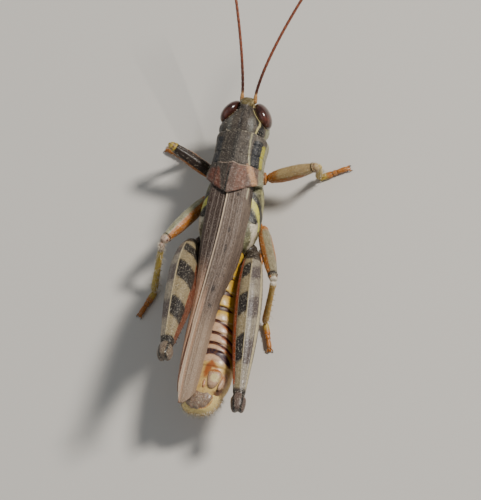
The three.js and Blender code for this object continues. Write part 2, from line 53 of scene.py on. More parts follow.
MM = 0.001
WING_TIP = 10.15  # how far behind mid-body the right fore wing ends
HEAD_SIDE = 0.1  # how far the head is turned to the left of mid-body
middle_x = (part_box("palp_L")[1][0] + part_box("palp_R")[0][0]) / 2 - HEAD_SIDE * MM
middle_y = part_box("tegmen_R")[1][1] - WING_TIP * MM
# Millimetres from mid-body, the way the animal is measured, to metres in the model's frame.
BODY = Matrix.Translation((middle_x, middle_y, 0)) @ Matrix.Scale(MM, 4)


def shade(code, alpha=1.0):
    """The linear colour for a code such as 0x4d473c."""
    parts = [((code >> shift) & 255) / 255 for shift in (16, 8, 0)]
    linear = [part / 12.92 if part <= 0.04045 else ((part + 0.055) / 1.055) ** 2.4 for part in parts]
    return (*linear, alpha)


def link(thing):
    bpy.context.scene.collection.objects.link(thing)
    return thing


floor_bm = bmesh.new()
bmesh.ops.create_grid(floor_bm, x_segments=1, y_segments=1, size=2)
floor_mesh = bpy.data.meshes.new("floor")
floor_bm.to_mesh(floor_mesh)
floor_bm.free()
floor = link(bpy.data.objects.new("floor", floor_mesh))
floor_finish = bpy.data.materials.new("pale_floor")
floor_finish.use_nodes = True
floor_shader = floor_finish.node_tree.nodes["Principled BSDF"]
floor_shader.inputs["Base Color"].default_value = shade(0xCFCBC4)
floor_shader.inputs["Roughness"].default_value = 0.9
floor_mesh.materials.append(floor_finish)


def soft_light(name, place, size, power, colour):
    """A square lamp at a place in metres, aimed at the animal."""
    lamp = bpy.data.lights.new(name, "AREA")
    lamp.size = size
    lamp.energy = power
    lamp.color = colour
    holder = link(bpy.data.objects.new(name, lamp))
    holder.location = place
    holder.rotation_euler = Vector(place).to_track_quat("Z", "Y").to_euler()


soft_light("key", (-0.25, -0.17, 0.34), 0.08, 2.5, (1.0, 0.96, 0.9))
soft_light("fill", (0.25, 0.2, 0.4), 0.5, 0.35, (0.9, 0.95, 1.0))
world = bpy.data.worlds.new("studio")
world.use_nodes = True
world.node_tree.nodes["Background"].inputs["Color"].default_value = (0.8, 0.85, 0.9, 1)
world.node_tree.nodes["Background"].inputs["Strength"].default_value = 0.26
bpy.context.scene.world = world

CAMERA_DISTANCE = 450
STAND_OVER, LOOK_AT = Vector((0, -10, 5.3)), Vector((-1.40, -0.38, 4.5))  # the brow, and mid-picture
ROLL = math.radians(12)
back = Vector((-0.2301, 0.3090, 0.9228)).normalized()
forward = Vector((0, -1, 0))
level_up = (forward - back * back.dot(forward)).normalized()
level_right = level_up.cross(back)
up = level_up * math.cos(ROLL) - level_right * math.sin(ROLL)
lens = bpy.data.cameras.new("camera")
lens.lens = 508.7
lens.sensor_width = 36
lens.clip_start = 0.01
lens.clip_end = 10
camera = link(bpy.data.objects.new("camera", lens))
camera_place = BODY @ (STAND_OVER + back * CAMERA_DISTANCE)
look = (camera_place - BODY @ LOOK_AT).normalized()
right = up.cross(look).normalized()
turn = Matrix((right, look.cross(right), look)).transposed()
camera.matrix_world = Matrix.Translation(camera_place) @ turn.to_4x4()
bpy.context.scene.camera = camera

# ---- Head capsule
# A hard upright box of cuticle, domed on top and narrowed to a spoon-shaped brow between the
# eyes, with a grooved keel down the face, rims round the eyes and seams where its plates fuse.


def reading(rows):
    """A smooth reading of rows that each start with their place."""
    places = [row[0] for row in rows]

    @functools.cache
    def read(place):
        place = min(max(place, places[0]), places[-1])
        i = max(k for k in range(len(rows) - 1) if places[k] <= place)
        gap = places[i + 1] - places[i]
        t = (place - places[i]) / gap
        before, after = max(i - 1, 0), min(i + 2, len(rows) - 1)
        values = []
        for a, b, c, d in zip(rows[before][1:], rows[i][1:], rows[i + 1][1:], rows[after][1:]):
            lead = (c - a) / (places[i + 1] - places[before]) * gap
            trail = (d - b) / (places[after] - places[i]) * gap
            cubic = 2 * b - 2 * c + lead + trail
            values.append(((cubic * t + 3 * c - 3 * b - 2 * lead - trail) * t + lead) * t + b)
        return values

    return read


def power(value, exponent):
    return math.copysign(abs(value) ** exponent, value)


def smooth(value, low, high):
    """0 below low, 1 above high and a smooth step between."""
    t = min(max((value - low) / (high - low), 0), 1)
    return t * t * (3 - 2 * t)


def bell(value, width):
    return math.exp(-((value / width) ** 2))


def near(point, path, width):
    """1 on the path and falling softly to 0 about its width away."""
    gaps = []
    for start, end in zip(path, path[1:]):
        start, run = Vector(start), Vector(end) - Vector(start)
        t = min(max((point - start).dot(run) / run.length_squared, 0), 1)
        gaps.append((point - start - run * t).length)
    return bell(min(gaps), width)


def form(rows, around, along, blunt=3.0, square=2.2, shape=None):
    """A closed skin along Y, in mm; rows hold [along, side, height, half width, rise, drop]."""
    bm = bmesh.new()
    bmesh.ops.create_uvsphere(bm, u_segments=around, v_segments=along, radius=1)
    read = reading(rows)
    start, length = rows[0][0], rows[-1][0] - rows[0][0]
    for vert in bm.verts:
        share = min(max((1 - vert.co.z) / 2, 0), 1)
        swell = max(1 - abs(2 * share - 1) ** blunt, 0) ** (1 / blunt)
        angle = math.atan2(vert.co.y, vert.co.x)
        across, lift = power(math.cos(angle), 2 / square), power(math.sin(angle), 2 / square)
        place = start + length * share
        side, height, half, rise, drop = read(round(place, 5))
        vert.co.x = side + half * swell * across
        vert.co.y = place
        vert.co.z = height + (rise if lift > 0 else drop) * swell * lift
        if shape:
            shape(vert.co, share, swell * across, swell * lift)
    bmesh.ops.recalc_face_normals(bm, faces=bm.faces)
    return bm


def join(*parts):
    """The bmeshes in one, their skins passing through each other."""
    whole = bmesh.new()
    for part in parts:
        mesh = bpy.data.meshes.new("part")
        part.to_mesh(mesh)
        part.free()
        whole.from_mesh(mesh)
        bpy.data.meshes.remove(mesh)
    return whole


def fused(bm, voxel, rounds=2):
    """The same bmesh as one skin, its crossings welded and softened."""
    mesh = bpy.data.meshes.new("fusing")
    bm.to_mesh(mesh)
    bm.free()
    carrier = link(bpy.data.objects.new("fusing", mesh))
    remesh = carrier.modifiers.new("remesh", "REMESH")
    remesh.mode = "VOXEL"
    remesh.voxel_size = voxel
    welded = bpy.data.meshes.new_from_object(carrier.evaluated_get(bpy.context.evaluated_depsgraph_get()))
    bpy.data.objects.remove(carrier)
    skin = bmesh.new()
    skin.from_mesh(welded)
    bpy.data.meshes.remove(welded)
    for _ in range(rounds):
        bmesh.ops.smooth_vert(skin, verts=skin.verts, factor=0.5, use_axis_x=True, use_axis_y=True, use_axis_z=True)
    return skin


def emboss(bm, height):
    """Moves each point along its normal by a height read from its place."""
    bm.normal_update()
    moves = [(vert, vert.normal * height(vert.co)) for vert in bm.verts]
    for vert, move in moves:
        vert.co += move


def mark(bm, name, amount):
    """Keeps how strongly each point carries a marking, from 0 to 1."""
    layer = bm.verts.layers.float.new(name)
    for vert in bm.verts:
        vert[layer] = amount(vert.co)


def painted(bm, coats, middle=None):
    """Marks a piece with each marking, and gives the list of their colours for its cuticle.

    A marking holds its colour, how ragged and how soft its edge is, and its strength at a point p.
    With a middle given, it is also handed q, the point as it lies on the left half.
    """
    for key, (*_, strength) in coats.items():
        if middle is None:
            mark(bm, key, strength)
        else:
            mark(bm, key, lambda p: strength(p, mirrored(p, middle)))
    return [(key, *look) for key, (*look, _) in coats.items()]


def finish_piece(name, bm, finish, nodes=(), place=Matrix()):
    """Hands a modelled piece over: its own coordinates kept, set in its place, riding on the body."""
    bmesh.ops.recalc_face_normals(bm, faces=bm.faces)
    own = bm.verts.layers.float_vector.new("own")
    for vert in bm.verts:
        vert[own] = vert.co
    for face in bm.faces:
        face.smooth = True
    bm.transform(BODY @ place)
    mesh = bpy.data.meshes.new(name)
    bm.to_mesh(mesh)
    bm.free()
    mesh.materials.append(finish)
    piece = link(bpy.data.objects.new(name, mesh))
    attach(piece, "root")
    if nodes:
        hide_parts(*nodes)
    return piece


def add(tree, kind, values=(), **settings):
    """A shader node with its settings, and its sockets given numbers, colours or links."""
    node = tree.nodes.new("ShaderNode" + kind)
    for key, value in settings.items():
        setattr(node, key, value)
    for socket, value in dict(values).items():
        if isinstance(value, bpy.types.NodeSocket):
            tree.links.new(value, node.inputs[socket])
        else:
            node.inputs[socket].default_value = value
    return node


def sums(tree, operation, first, second=0.0):
    return add(tree, "Math", {0: first, 1: second}, operation=operation).outputs[0]


def group_tree(name, takes, gives):
    tree = bpy.data.node_groups.new(name, "ShaderNodeTree")
    for key, kind, value in takes:
        socket = tree.interface.new_socket(key, in_out="INPUT", socket_type="NodeSocket" + kind)
        if value is not None:
            socket.default_value = value
    for key in gives:
        tree.interface.new_socket(key, in_out="OUTPUT", socket_type="NodeSocketFloat")
    return tree, tree.nodes.new("NodeGroupInput").outputs, tree.nodes.new("NodeGroupOutput")


# The ragged edge of a marking: its strength is broken up by a fine noise before it is cut.
ragged, takes, gives = group_tree(
    "ragged_edge",
    [
        ("Place", "Vector", None), ("Strength", "Float", 0.0), ("Fineness", "Float", 8.0),
        ("Wobble", "Float", 0.5), ("Soft", "Float", 0.15),
    ],
    ["Mask"],
)
edge_noise = add(ragged, "TexNoise", {"Vector": takes["Place"], "Scale": takes["Fineness"], "Detail": 3.0})
shaken = sums(ragged, "MULTIPLY", sums(ragged, "SUBTRACT", edge_noise.outputs[0], 0.5), takes["Wobble"])
low, high = sums(ragged, "SUBTRACT", 0.5, takes["Soft"]), sums(ragged, "ADD", 0.5, takes["Soft"])
strength = sums(ragged, "ADD", takes["Strength"], shaken)
cut = add(ragged, "MapRange", {0: strength, 1: low, 2: high}, interpolation_type="SMOOTHSTEP")
ragged.links.new(cut.outputs[0], gives.inputs["Mask"])

# The grain of cuticle: broad clouds, fine dark specks, pale flecks, and pits that catch the light.
grain, takes, gives = group_tree(
    "cuticle_grain",
    [("Place", "Vector", None), ("Fineness", "Float", 6.0), ("Pits", "Float", 0.5)],
    ["Cloud", "Speck", "Fleck", "Height"],
)
place, fineness = takes["Place"], takes["Fineness"]
coarse, flecked, pitted = (sums(grain, "MULTIPLY", fineness, times) for times in (0.35, 2.1, 1.6))
cloud = add(grain, "TexNoise", {"Vector": place, "Scale": coarse, "Detail": 4.0})
fine = add(grain, "TexNoise", {"Vector": place, "Scale": fineness, "Detail": 6.0, "Roughness": 0.65})
fleck = add(grain, "TexNoise", {"Vector": place, "Scale": flecked, "Detail": 3.0})
pits = add(grain, "TexVoronoi", {"Vector": place, "Scale": pitted})
clouded = add(grain, "MapRange", {0: cloud.outputs[0], 1: 0.35, 2: 0.65})
specked = add(grain, "MapRange", {0: fine.outputs[0], 1: 0.48, 2: 0.66})
pitted = add(grain, "MapRange", {0: pits.outputs["Distance"], 1: 0.05, 2: 0.4}, interpolation_type="SMOOTHSTEP")
deep = sums(grain, "MULTIPLY", pitted.outputs[0], takes["Pits"])
grain.links.new(clouded.outputs[0], gives.inputs["Cloud"])
grain.links.new(specked.outputs[0], gives.inputs["Speck"])
grain.links.new(add(grain, "MapRange", {0: fleck.outputs[0], 1: 0.56, 2: 0.68}).outputs[0], gives.inputs["Fleck"])
grain.links.new(sums(grain, "ADD", fine.outputs[0], deep), gives.inputs["Height"])


def use_group(tree, group, values):
    node = tree.nodes.new("ShaderNodeGroup")
    node.node_tree = group
    for socket, value in values.items():
        if isinstance(value, bpy.types.NodeSocket):
            tree.links.new(value, node.inputs[socket])
        else:
            node.inputs[socket].default_value = value
    return node.outputs


def coat(tree, under, colour, mask):
    """A colour laid over another where the mask is."""
    mixed = add(tree, "Mix", {0: mask, 6: under, 7: colour}, data_type="RGBA")
    return mixed.outputs[2]


def cuticle(
    name, base, cloudy, speck, coats=(), rough=0.42, fineness=6.0, pits=0.5, relief=0.02, gloss=0.0, fleck=None
):
    """A hard satin shell: base colour and clouds, a colour for each marking, then specks and flecks."""
    finish = bpy.data.materials.new(name)
    finish.use_nodes = True
    tree = finish.node_tree
    shader = tree.nodes["Principled BSDF"]
    own = add(tree, "Attribute", attribute_name="own").outputs["Vector"]
    grains = use_group(tree, grain, {"Place": own, "Fineness": fineness, "Pits": pits})
    colour = coat(tree, shade(base), shade(cloudy), sums(tree, "MULTIPLY", grains["Cloud"], 0.7))
    for marking, code, wobble, *soft in coats:
        strength = add(tree, "Attribute", attribute_name=marking).outputs["Fac"]
        values = {"Place": own, "Strength": strength, "Fineness": fineness * 1.3, "Wobble": wobble}
        values["Soft"] = soft[0] if soft else 0.15
        colour = coat(tree, colour, shade(code), use_group(tree, ragged, values)["Mask"])
    colour = coat(tree, colour, shade(speck), sums(tree, "MULTIPLY", grains["Speck"], 0.5))
    if fleck:
        colour = coat(tree, colour, shade(fleck), sums(tree, "MULTIPLY", grains["Fleck"], 0.5))
    tree.links.new(colour, shader.inputs["Base Color"])
    roughness = add(tree, "MapRange", {0: grains["Cloud"], 3: rough - 0.08, 4: rough + 0.1})
    tree.links.new(roughness.outputs[0], shader.inputs["Roughness"])
    bump = add(tree, "Bump", {"Strength": 0.8, "Distance": relief * MM, "Height": grains["Height"]})
    tree.links.new(bump.outputs[0], shader.inputs["Normal"])
    shader.inputs["Specular IOR Level"].default_value = 0.4
    shader.inputs["Coat Weight"].default_value = gloss
    shader.inputs["Coat Roughness"].default_value = 0.15
    return finish


LEFT, RIGHT = 1, -1
HEAD = {"side": HEAD_SIDE, "top": 5.5, "mouth": 1.45, "middle": -9.1, "half_width": 1.5}
EYE = {"side": 1.03, "along": -9.55, "height": 4.06, "half": (0.5, 0.92, 0.88)}
EYE_TURN = {"pitch": 0.5, "converge": 0.6}
SOCKET = Vector((0.44, -10.2, 4.5))  # where a feeler leaves the face

TURN_UP = Matrix.Rotation(math.radians(90), 4, "X")


def eye_place(side):
    turned = Matrix.Rotation(-side * EYE_TURN["converge"], 4, "Z") @ Matrix.Rotation(EYE_TURN["pitch"], 4, "X")
    return Matrix.Translation((HEAD["side"] + side * EYE["side"], EYE["along"], EYE["height"])) @ turned


eye_spaces = {side: (eye_place(side) @ Matrix.Diagonal((*EYE["half"], 1))).inverted() for side in (LEFT, RIGHT)}


def from_eye(point):
    """How far a point is from the nearer eye's middle, the eye's own skin being at 1."""
    return (eye_spaces[LEFT if point.x > HEAD["side"] else RIGHT] @ point).length


def skull_shape(co, share, across, lift):
    crown = smooth(co.y, 3.3, 4.8)
    muzzle = smooth(co.z, front - 0.9, front + 0.8)
    co.x = middle + (co.x - middle) * (1 - 0.6 * crown * muzzle)
    co.y -= 0.22 * crown * muzzle


middle, front, half = HEAD["side"], -HEAD["middle"], HEAD["half_width"]
skull = form(
    [
        (HEAD["mouth"], middle, front - 0.1, 0.6 * half, 0.72, 0.9),
        (2.2, middle, front - 0.05, 0.84 * half, 0.92, 1.4),
        (3.1, middle, front, 0.92 * half, 1.05, 1.75),
        (4.0, middle, front, 0.98 * half, 1.12, 1.9),
        (4.8, middle, front, half, 1.15, 2.0),
        (HEAD["top"], middle, front, 0.94 * half, 1.1, 2.1),
    ],
    64, 56, blunt=2.9, square=2.2, shape=skull_shape,
)
keel = form(
    [
        (2.3, middle, front + 0.74, 0.2, 0.3, 0.3),
        (3.6, middle, front + 0.95, 0.26, 0.34, 0.3),
        (4.75, middle, front + 1.02, 0.4, 0.4, 0.5),
        (5.3, middle, front + 0.72, 0.45, 0.42, 0.7),
    ],
    32, 32,
)
capsule = join(skull, keel)
capsule.transform(TURN_UP)
capsule = fused(capsule, 0.035, rounds=3)

FACE_KEEL = [(0.17, -10.5, 4.9), (0.2, -10.45, 3.9), (0.17, -10.2, 2.5)]
CHEEK_KEEL = [(0.66, -10.15, 4.1), (0.82, -10.0, 3.2), (0.8, -9.85, 2.4)]
CHEEK_GROOVE = [(1.16, -9.9, 3.4), (1.12, -9.85, 2.2)]
LIP_SEAM = [(0, -10.1, 2.3), (0.6, -9.95, 2.3), (1.0, -9.6, 2.15)]
REAR_SEAM = [(0.9, -8.45, 5.2), (1.38, -8.5, 4.2), (1.35, -8.55, 2.8), (1.0, -8.6, 1.9)]


def mirrored(point, middle=0.0):
    """The point as it lies on the left half."""
    return Vector((abs(point.x - middle), point.y, point.z))


def head_relief(point):
    half_point, gap = mirrored(point, HEAD["side"]), from_eye(point)
    height = 0.03 * bell(gap - 1.08, 0.04) - 0.04 * bell(gap - 1.0, 0.03)
    height += 0.05 * near(half_point, FACE_KEEL, 0.06) + 0.05 * near(half_point, CHEEK_KEEL, 0.06)
    height -= 0.05 * near(half_point, CHEEK_GROOVE, 0.05) + 0.06 * near(half_point, LIP_SEAM, 0.05)
    height -= 0.035 * near(half_point, REAR_SEAM, 0.05)
    height += 0.09 * bell((half_point - SOCKET).length - 0.3, 0.07) - 0.12 * bell((half_point - SOCKET).length, 0.2)
    height -= 0.07 * bell((half_point - Vector((0, -10.15, 5.25))).length, 0.22)
    if point.z > 4.9 and -10.6 < point.y < -9.6:
        height += 0.04 * bell(half_point.x - 0.34, 0.06)
    height -= 0.02 * bell(half_point.x, 0.04) * smooth(point.z, 4.8, 5.1) * smooth(point.y, -9.7, -9.4)
    swell = bell((half_point - Vector((1.35, -8.2, 4.1))).length, 0.75)  # the cheek behind the eye
    height += (0.26 if point.x > HEAD["side"] else 0.08) * swell
    return height + 0.012 * noise.noise(point * 5)


emboss(capsule, head_relief)

CROWN_EDGE = [(1.08, -9.0, 0), (1.15, -8.6, 0), (1.06, -8.2, 0), (0.97, -7.9, 0)]
BROW_RIM = [(0.4, -9.75, 0), (0.4, -10.2, 0), (0.26, -10.42, 0), (0, -10.48, 0)]
EYE_BAND = [(1.15, -8.8, 4.75), (1.3, -8.3, 4.75), (1.45, -7.7, 4.7)]
CHEEK_STRIPE = [(1.3, -9.0, 3.5), (1.4, -8.5, 3.3), (1.4, -8.0, 3.2)]


def from_above(p, path, width):
    """Near a path that is drawn on the top of the animal, whatever its height there."""
    return near(Vector((p.x, p.y, 0)), path, width)


def crown_edge(p, q):
    """A pale line along the inner rim of each eye, and behind the right one back to the shield."""
    behind = (0.85 if p.x < HEAD["side"] else 0.15) * from_above(q, CROWN_EDGE, 0.06)
    return smooth(p.z, 4.5, 4.7) * (behind + bell(from_eye(p) - 1.09, 0.05) * (q.x < 1.05))


HEAD_COATS = {
    # Painted highlight: a blue-grey sheen on each side of the crown.
    "crown_painted_highlight": (0x6F6F68, 0.9, 0.5, lambda p, q: (
        0.6 * bell(q.x - 0.72, 0.2) * smooth(q.z, 4.9, 5.1) * smooth(q.y, -9.3, -8.9)
    )),
    "crown_dark": (0x2E2824, 0.8, 0.4, lambda p, q: (
        smooth(q.z, 4.7, 4.9) * bell(q.x - 0.36, 0.1) * smooth(q.y, -9.9, -9.7) * (1 - smooth(q.y, -9.4, -8.9))
    )),
    "cheek": (0x8B8A62, 0.5, 0.3, lambda p, q: 1 - smooth(q.z, 3.7, 4.4)),
    "brow": (0x62552F, 0.5, 0.3, lambda p, q: smooth(-q.y, 9.72, 9.9) * smooth(q.z, 4.6, 4.85)),
    "brow_rim": (0xC2AC78, 0.7, 0.3, lambda p, q: (
        0.8 * from_above(q, BROW_RIM, 0.05) * smooth(q.z, 4.8, 4.95) + 0.9 * bell((q - SOCKET).length - 0.26, 0.08)
    )),
    "crown_line": (0x2C2725, 0.7, 0.45, lambda p, q: (
        0.75 * smooth(q.z, 4.7, 4.9) * bell(q.x, 0.15) * smooth(q.y, -9.85, -9.6)
    )),
    "eye_band": (0x101015, 0.3, lambda p, q: (
        min(1.5 * near(q, EYE_BAND, 0.36), 1) * (1 - from_above(q, CROWN_EDGE, 0.07))
    )),
    "crown_edge": (0xC4B87C, 0.6, 0.25, crown_edge),
    "cheek_stripe": (0xA4A78F, 0.5, 0.3, lambda p, q: 0.6 * near(q, CHEEK_STRIPE, 0.4)),
    "eye_rim": (0x8F8458, 0.5, 0.3, lambda p, q: (
        0.75 * bell(from_eye(p) - 1.075, 0.035) * (1 - smooth(p.z, 4.3, 4.6))
    )),
    # Painted shade: a dark line in the groove round each eye.
    "eye_groove_painted_shade": (0x140D0C, 0.2, lambda p, q: bell(from_eye(p) - 0.99, 0.03)),
}
hair_roots = {"body": [], "legs": [], "tail": []}


def plant_hairs(bm, place, reach, coat_name, count, size, seed, middle=(0, 0), where=None):
    """Keeps the roots of hairs scattered over a piece that reaches from one place to another along Y."""
    scatter = random.Random(seed)
    bm.normal_update()
    skin = [vert for vert in bm.verts if where is None or where(vert.co)]
    tile, (start, end) = len(hair_roots[coat_name]), reach
    roots = []
    for _ in range(count):
        vert = scatter.choice(skin)
        way = vert.normal + Vector((0, 0.5, 0)) + 0.25 * Vector([scatter.uniform(-1, 1) for _ in range(3)])
        turn_share = math.atan2(vert.co.z - middle[1], vert.co.x - middle[0]) / (2 * math.pi) + 0.5
        length_share = min(max((vert.co.y - start) / (end - start), 0), 1)
        root, way = place @ vert.co, place.to_3x3() @ way.normalized()
        roots.append((root, way, size * scatter.uniform(0.6, 1.2), turn_share, length_share))
    hair_roots[coat_name].append((tile, roots))


head_finish = cuticle(
    "head_cuticle", 0x40372F, 0x544A41, 0x1F1A16, painted(capsule, HEAD_COATS, HEAD["side"]),
    rough=0.4, fineness=8.0, pits=0.7, relief=0.025, fleck=0xA29B8B,
)
plant_hairs(capsule, Matrix(), (-10.6, -7.6), "body", 220, 0.14, 2, (HEAD["side"], 3.6))
finish_piece("head_capsule", capsule, head_finish, ["head"])

# ---- Eyes
# Two tall glossy ovals set in rims at the corners of the head, dark red-brown and faintly
# clouded, their skin made of thousands of tiny six-sided lenses.


def eye_finish():
    finish = bpy.data.materials.new("eye_lenses")
    finish.use_nodes = True
    tree = finish.node_tree
    shader = tree.nodes["Principled BSDF"]
    own = add(tree, "Attribute", attribute_name="own").outputs["Vector"]
    grains = use_group(tree, grain, {"Place": own, "Fineness": 5.0, "Pits": 0.0})
    colour = coat(tree, shade(0x361A14), shade(0x64382C), sums(tree, "MULTIPLY", grains["Cloud"], 0.8))
    colour = coat(tree, colour, shade(0x120706), sums(tree, "MULTIPLY", grains["Speck"], 0.6))
    tree.links.new(colour, shader.inputs["Base Color"])
    shader.inputs["Roughness"].default_value = 0.22
    shader.inputs["Coat Weight"].default_value = 0.5
    shader.inputs["Coat Roughness"].default_value = 0.1
    lenses = add(tree, "TexVoronoi", {"Vector": own, "Scale": 34.0, "Randomness": 0.25})
    bump = add(
        tree, "Bump", {"Strength": 0.12, "Distance": 0.004 * MM, "Height": lenses.outputs["Distance"]}, invert=True
    )
    tree.links.new(bump.outputs[0], shader.inputs["Normal"])
    return finish


eye_gloss = eye_finish()
for suffix, side in (("L", LEFT), ("R", RIGHT)):
    ball = bmesh.new()
    bmesh.ops.create_uvsphere(ball, u_segments=64, v_segments=48, radius=1)
    bmesh.ops.scale(ball, verts=ball.verts, vec=EYE["half"])
    finish_piece(f"eye_lens_{suffix}", ball, eye_gloss, [f"eye_{suffix}"], eye_place(side))

# ---- Feelers
# Two slender rods of about two dozen short joints, set in cups low on the brow: a stout first
# joint, a small second one, then a whip that hardly tapers. Copper brown, darker at the base.

FEELER = {"half": 0.1, "joints": 24}


def feeler_line(share, side, spread, climb, reach):
    """The middle of a feeler at a share of its length from the socket."""
    outward = SOCKET.x + spread * max(0, share - 0.06) ** 1.35
    return Vector(
        (side * outward + HEAD["side"] * (1 - share), SOCKET.y - reach * share, SOCKET.z + climb * share**0.9)
    )


feeler_coats = [("seam", 0x54281A, 0.3, 0.4), ("root", 0x3E2018, 0.4, 0.5), ("cup", 0xB98A55, 0.3, 0.4)]
feeler_finish = cuticle(
    "feeler_copper", 0x7F4430, 0x99583C, 0x4A2418, feeler_coats, rough=0.32, fineness=9.0, relief=0.008
)
for suffix, side, spread, climb, reach in (("L", LEFT, 2.05, 3.4, 8.1), ("R", RIGHT, 3.2, 3.2, 8.0)):

    def feeler_shape(co, share, across, lift):
        """Joints pinch the rod, and the first two are stout."""
        share = 1 - share
        stout = 1 + 0.55 * bell(share - 0.02, 0.02) + 0.15 * bell(share - 0.05, 0.012)
        pinch = 1 - 0.16 * bell((share * FEELER["joints"]) % 1 - 0.5, 0.12)
        taper = 1 - 0.25 * smooth(share, 0.8, 1)
        centre = feeler_line(share, side, spread, climb, reach)
        radius = FEELER["half"] * stout * pinch * taper
        co.x = centre.x + radius * across
        co.z = centre.z + radius * lift

    rod = form(
        [(-10.2 - reach, 0, 0, 1, 1, 1), (-10.2, 0, 0, 1, 1, 1)], 12, 260, blunt=14, square=2, shape=feeler_shape
    )

    def share_of(p):
        return (SOCKET.y - p.y) / reach

    mark(rod, "seam", lambda p: 0.8 * bell((share_of(p) * FEELER["joints"]) % 1 - 0.5, 0.12))
    mark(rod, "root", lambda p: 0.8 * (1 - smooth(share_of(p), 0.12, 0.4)))
    mark(rod, "cup", lambda p: 1 - smooth(share_of(p), 0.03, 0.1))
    finish_piece(f"feeler_{suffix}", rod, feeler_finish, [f"antenna_{suffix}"])

# ---- Mouthparts
# A flap-like upper lip, a pair of dark-tipped jaws under it, the lower lip behind, and a
# jointed palp each side that hangs beside them. Olive to brown, like the lower face.

mouth_place = Matrix.Translation((HEAD["side"], 0, 0))
mouth_finish = cuticle(
    "mouth_cuticle", 0x6E6438, 0x857A4A, 0x2E2618, [("tip", 0x1C120E, 0.3)], rough=0.4, fineness=9.0
)
lip = form(
    [
        (1.3, 0, front + 0.42, 0.42, 0.22, 0.2),
        (1.7, 0, front + 0.6, 0.55, 0.2, 0.2),
        (2.4, 0, front + 0.8, 0.5, 0.2, 0.2),
    ],
    40, 32, blunt=4,
    shape=lambda co, share, across, lift: (
        setattr(co, "y", co.y + 0.1 * bell(co.x, 0.1) * (1 - smooth(share, 0, 0.3)))
    ),
)
lip.transform(TURN_UP)
emboss(lip, lambda p: -0.03 * bell(p.z - 1.95, 0.04))
mark(lip, "tip", lambda p: 0)
finish_piece("upper_lip_flap", lip, mouth_finish, ["upper_lip"], mouth_place)
for suffix, side in (("L", LEFT), ("R", RIGHT)):
    jaw = form(
        [
            (1.25, side * 0.42, front + 0.1, 0.32, 0.35, 0.35),
            (1.7, side * 0.62, front + 0.15, 0.36, 0.42, 0.45),
            (2.3, side * 0.86, front + 0.2, 0.34, 0.4, 0.45),
        ],
        32, 24,
    )
    jaw.transform(TURN_UP)
    mark(jaw, "tip", lambda p: 1 - smooth(p.z, 1.45, 1.6))
    finish_piece(f"jaw_{suffix}", jaw, mouth_finish, [f"mandible_{suffix}"], mouth_place)
    joints = 4
    palp = form(
        [
            (-9.8, side * 0.74, 0.92, 0.11, 0.11, 0.11),
            (-9.4, side * 0.8, 0.96, 0.12, 0.12, 0.12),
            (-9.0, side * 0.75, 1.12, 0.12, 0.12, 0.12),
            (-8.6, side * 0.62, 1.45, 0.13, 0.13, 0.13),
        ],
        16, 60, blunt=6, square=2,
    )
    emboss(palp, lambda p: -0.035 * bell(((p.y + 9.8) / 1.2 * joints) % 1 - 0.5, 0.14))
    mark(palp, "tip", lambda p: 0.6 * bell(((p.y + 9.8) / 1.2 * joints) % 1 - 0.5, 0.14))
    finish_piece(f"palp_joints_{suffix}", palp, mouth_finish, [f"palp_{suffix}"], mouth_place)
under_lip = form(
    [(-8.9, 0, 1.3, 0.45, 0.25, 0.25), (-8.4, 0, 1.45, 0.55, 0.3, 0.25), (-8.0, 0, 1.8, 0.45, 0.3, 0.25)],
    32, 24,
)
emboss(under_lip, lambda p: -0.05 * bell(p.x, 0.04))
mark(under_lip, "tip", lambda p: 0)
finish_piece("under_lip", under_lip, mouth_finish, ["labium"], mouth_place)

# ---- Saddle shield
# One bent plate over the front of the trunk, pitted and keeled along the middle, cut across by
# three seams, its shoulders pale-edged and its back edge drawn to a blunt point over the wings.

SHIELD = {
    "front": -8.1, "rear": -3.5, "corner": -4.85, "half_width": 1.74,
    "ridge": 5.6, "sternum": 1.85, "middle": 3.9, "keel": 0.1,
}
SEAMS = ((-7.25, 0.5), (-6.55, 0.7), (-5.8, 1.0))  # how far along, and how deep


def seam_line(along, across):
    return along + 0.12 * smooth(across, 0, 0.5) - 0.1 * smooth(across, 0.5, 1.5)


def shield_shape(co, share, across, lift):
    height = max(0, lift)
    back_edge = SHIELD["corner"] + (SHIELD["rear"] - SHIELD["corner"]) * height**1.3 * (1 - 0.6 * abs(across))
    front_edge = SHIELD["front"] + 0.25 * (1 - height) + 0.1 * abs(across)
    co.y = front_edge + (back_edge - front_edge) * share
    co.x *= 1 - 0.1 * smooth(-co.z, -SHIELD["middle"], 1.2 - SHIELD["middle"])
    out, aside, behind = 0.0, abs(co.x), smooth(co.y, -5.9, -5.6)
    if lift > 0:
        out += (0.03 + 0.05 * behind) * bell(co.x - SHIELD["keel"], 0.06) + 0.04 * bell(co.x - SHIELD["keel"], 0.3)
        out += 0.04 * bell(aside - 0.9, 0.1) - 0.05 * bell(aside - 1.15, 0.14)
        out += 0.04 * behind * noise.noise(Vector((co.x * 7, co.y * 7, co.z * 7)))
    for along, depth in SEAMS:
        out -= 0.06 * depth * bell(co.y - seam_line(along, aside), 0.05) * (aside > 0.1)
    out += 0.03 * bell(share - 0.985, 0.012) + 0.02 * bell(share - 0.012, 0.01)
    out += 0.02 * noise.noise(Vector((co.x * 4, co.y * 4, co.z * 4)))
    co.x += across * out
    co.z += lift * out


mid, ridge, keel_drop = SHIELD["middle"], SHIELD["ridge"] - SHIELD["middle"], SHIELD["middle"] - SHIELD["sternum"]
wide = SHIELD["half_width"]
shield = form(
    [
        (0, 0, mid, wide, ridge - 0.12, keel_drop - 0.35),
        (0.25, 0, mid, 0.95 * wide, ridge - 0.05, keel_drop - 0.1),
        (0.5, 0, mid, 0.94 * wide, ridge, keel_drop),
        (0.75, 0, mid, 0.99 * wide, ridge + 0.05, keel_drop),
        (1, 0, mid, 1.08 * wide, ridge + 0.1, keel_drop - 0.15),
    ],
    160, 150, blunt=14, square=2.6, shape=shield_shape,
)


def span(value, low, high, soft):
    return smooth(value, low - soft, low + soft) * (1 - smooth(value, high - soft, high + soft))


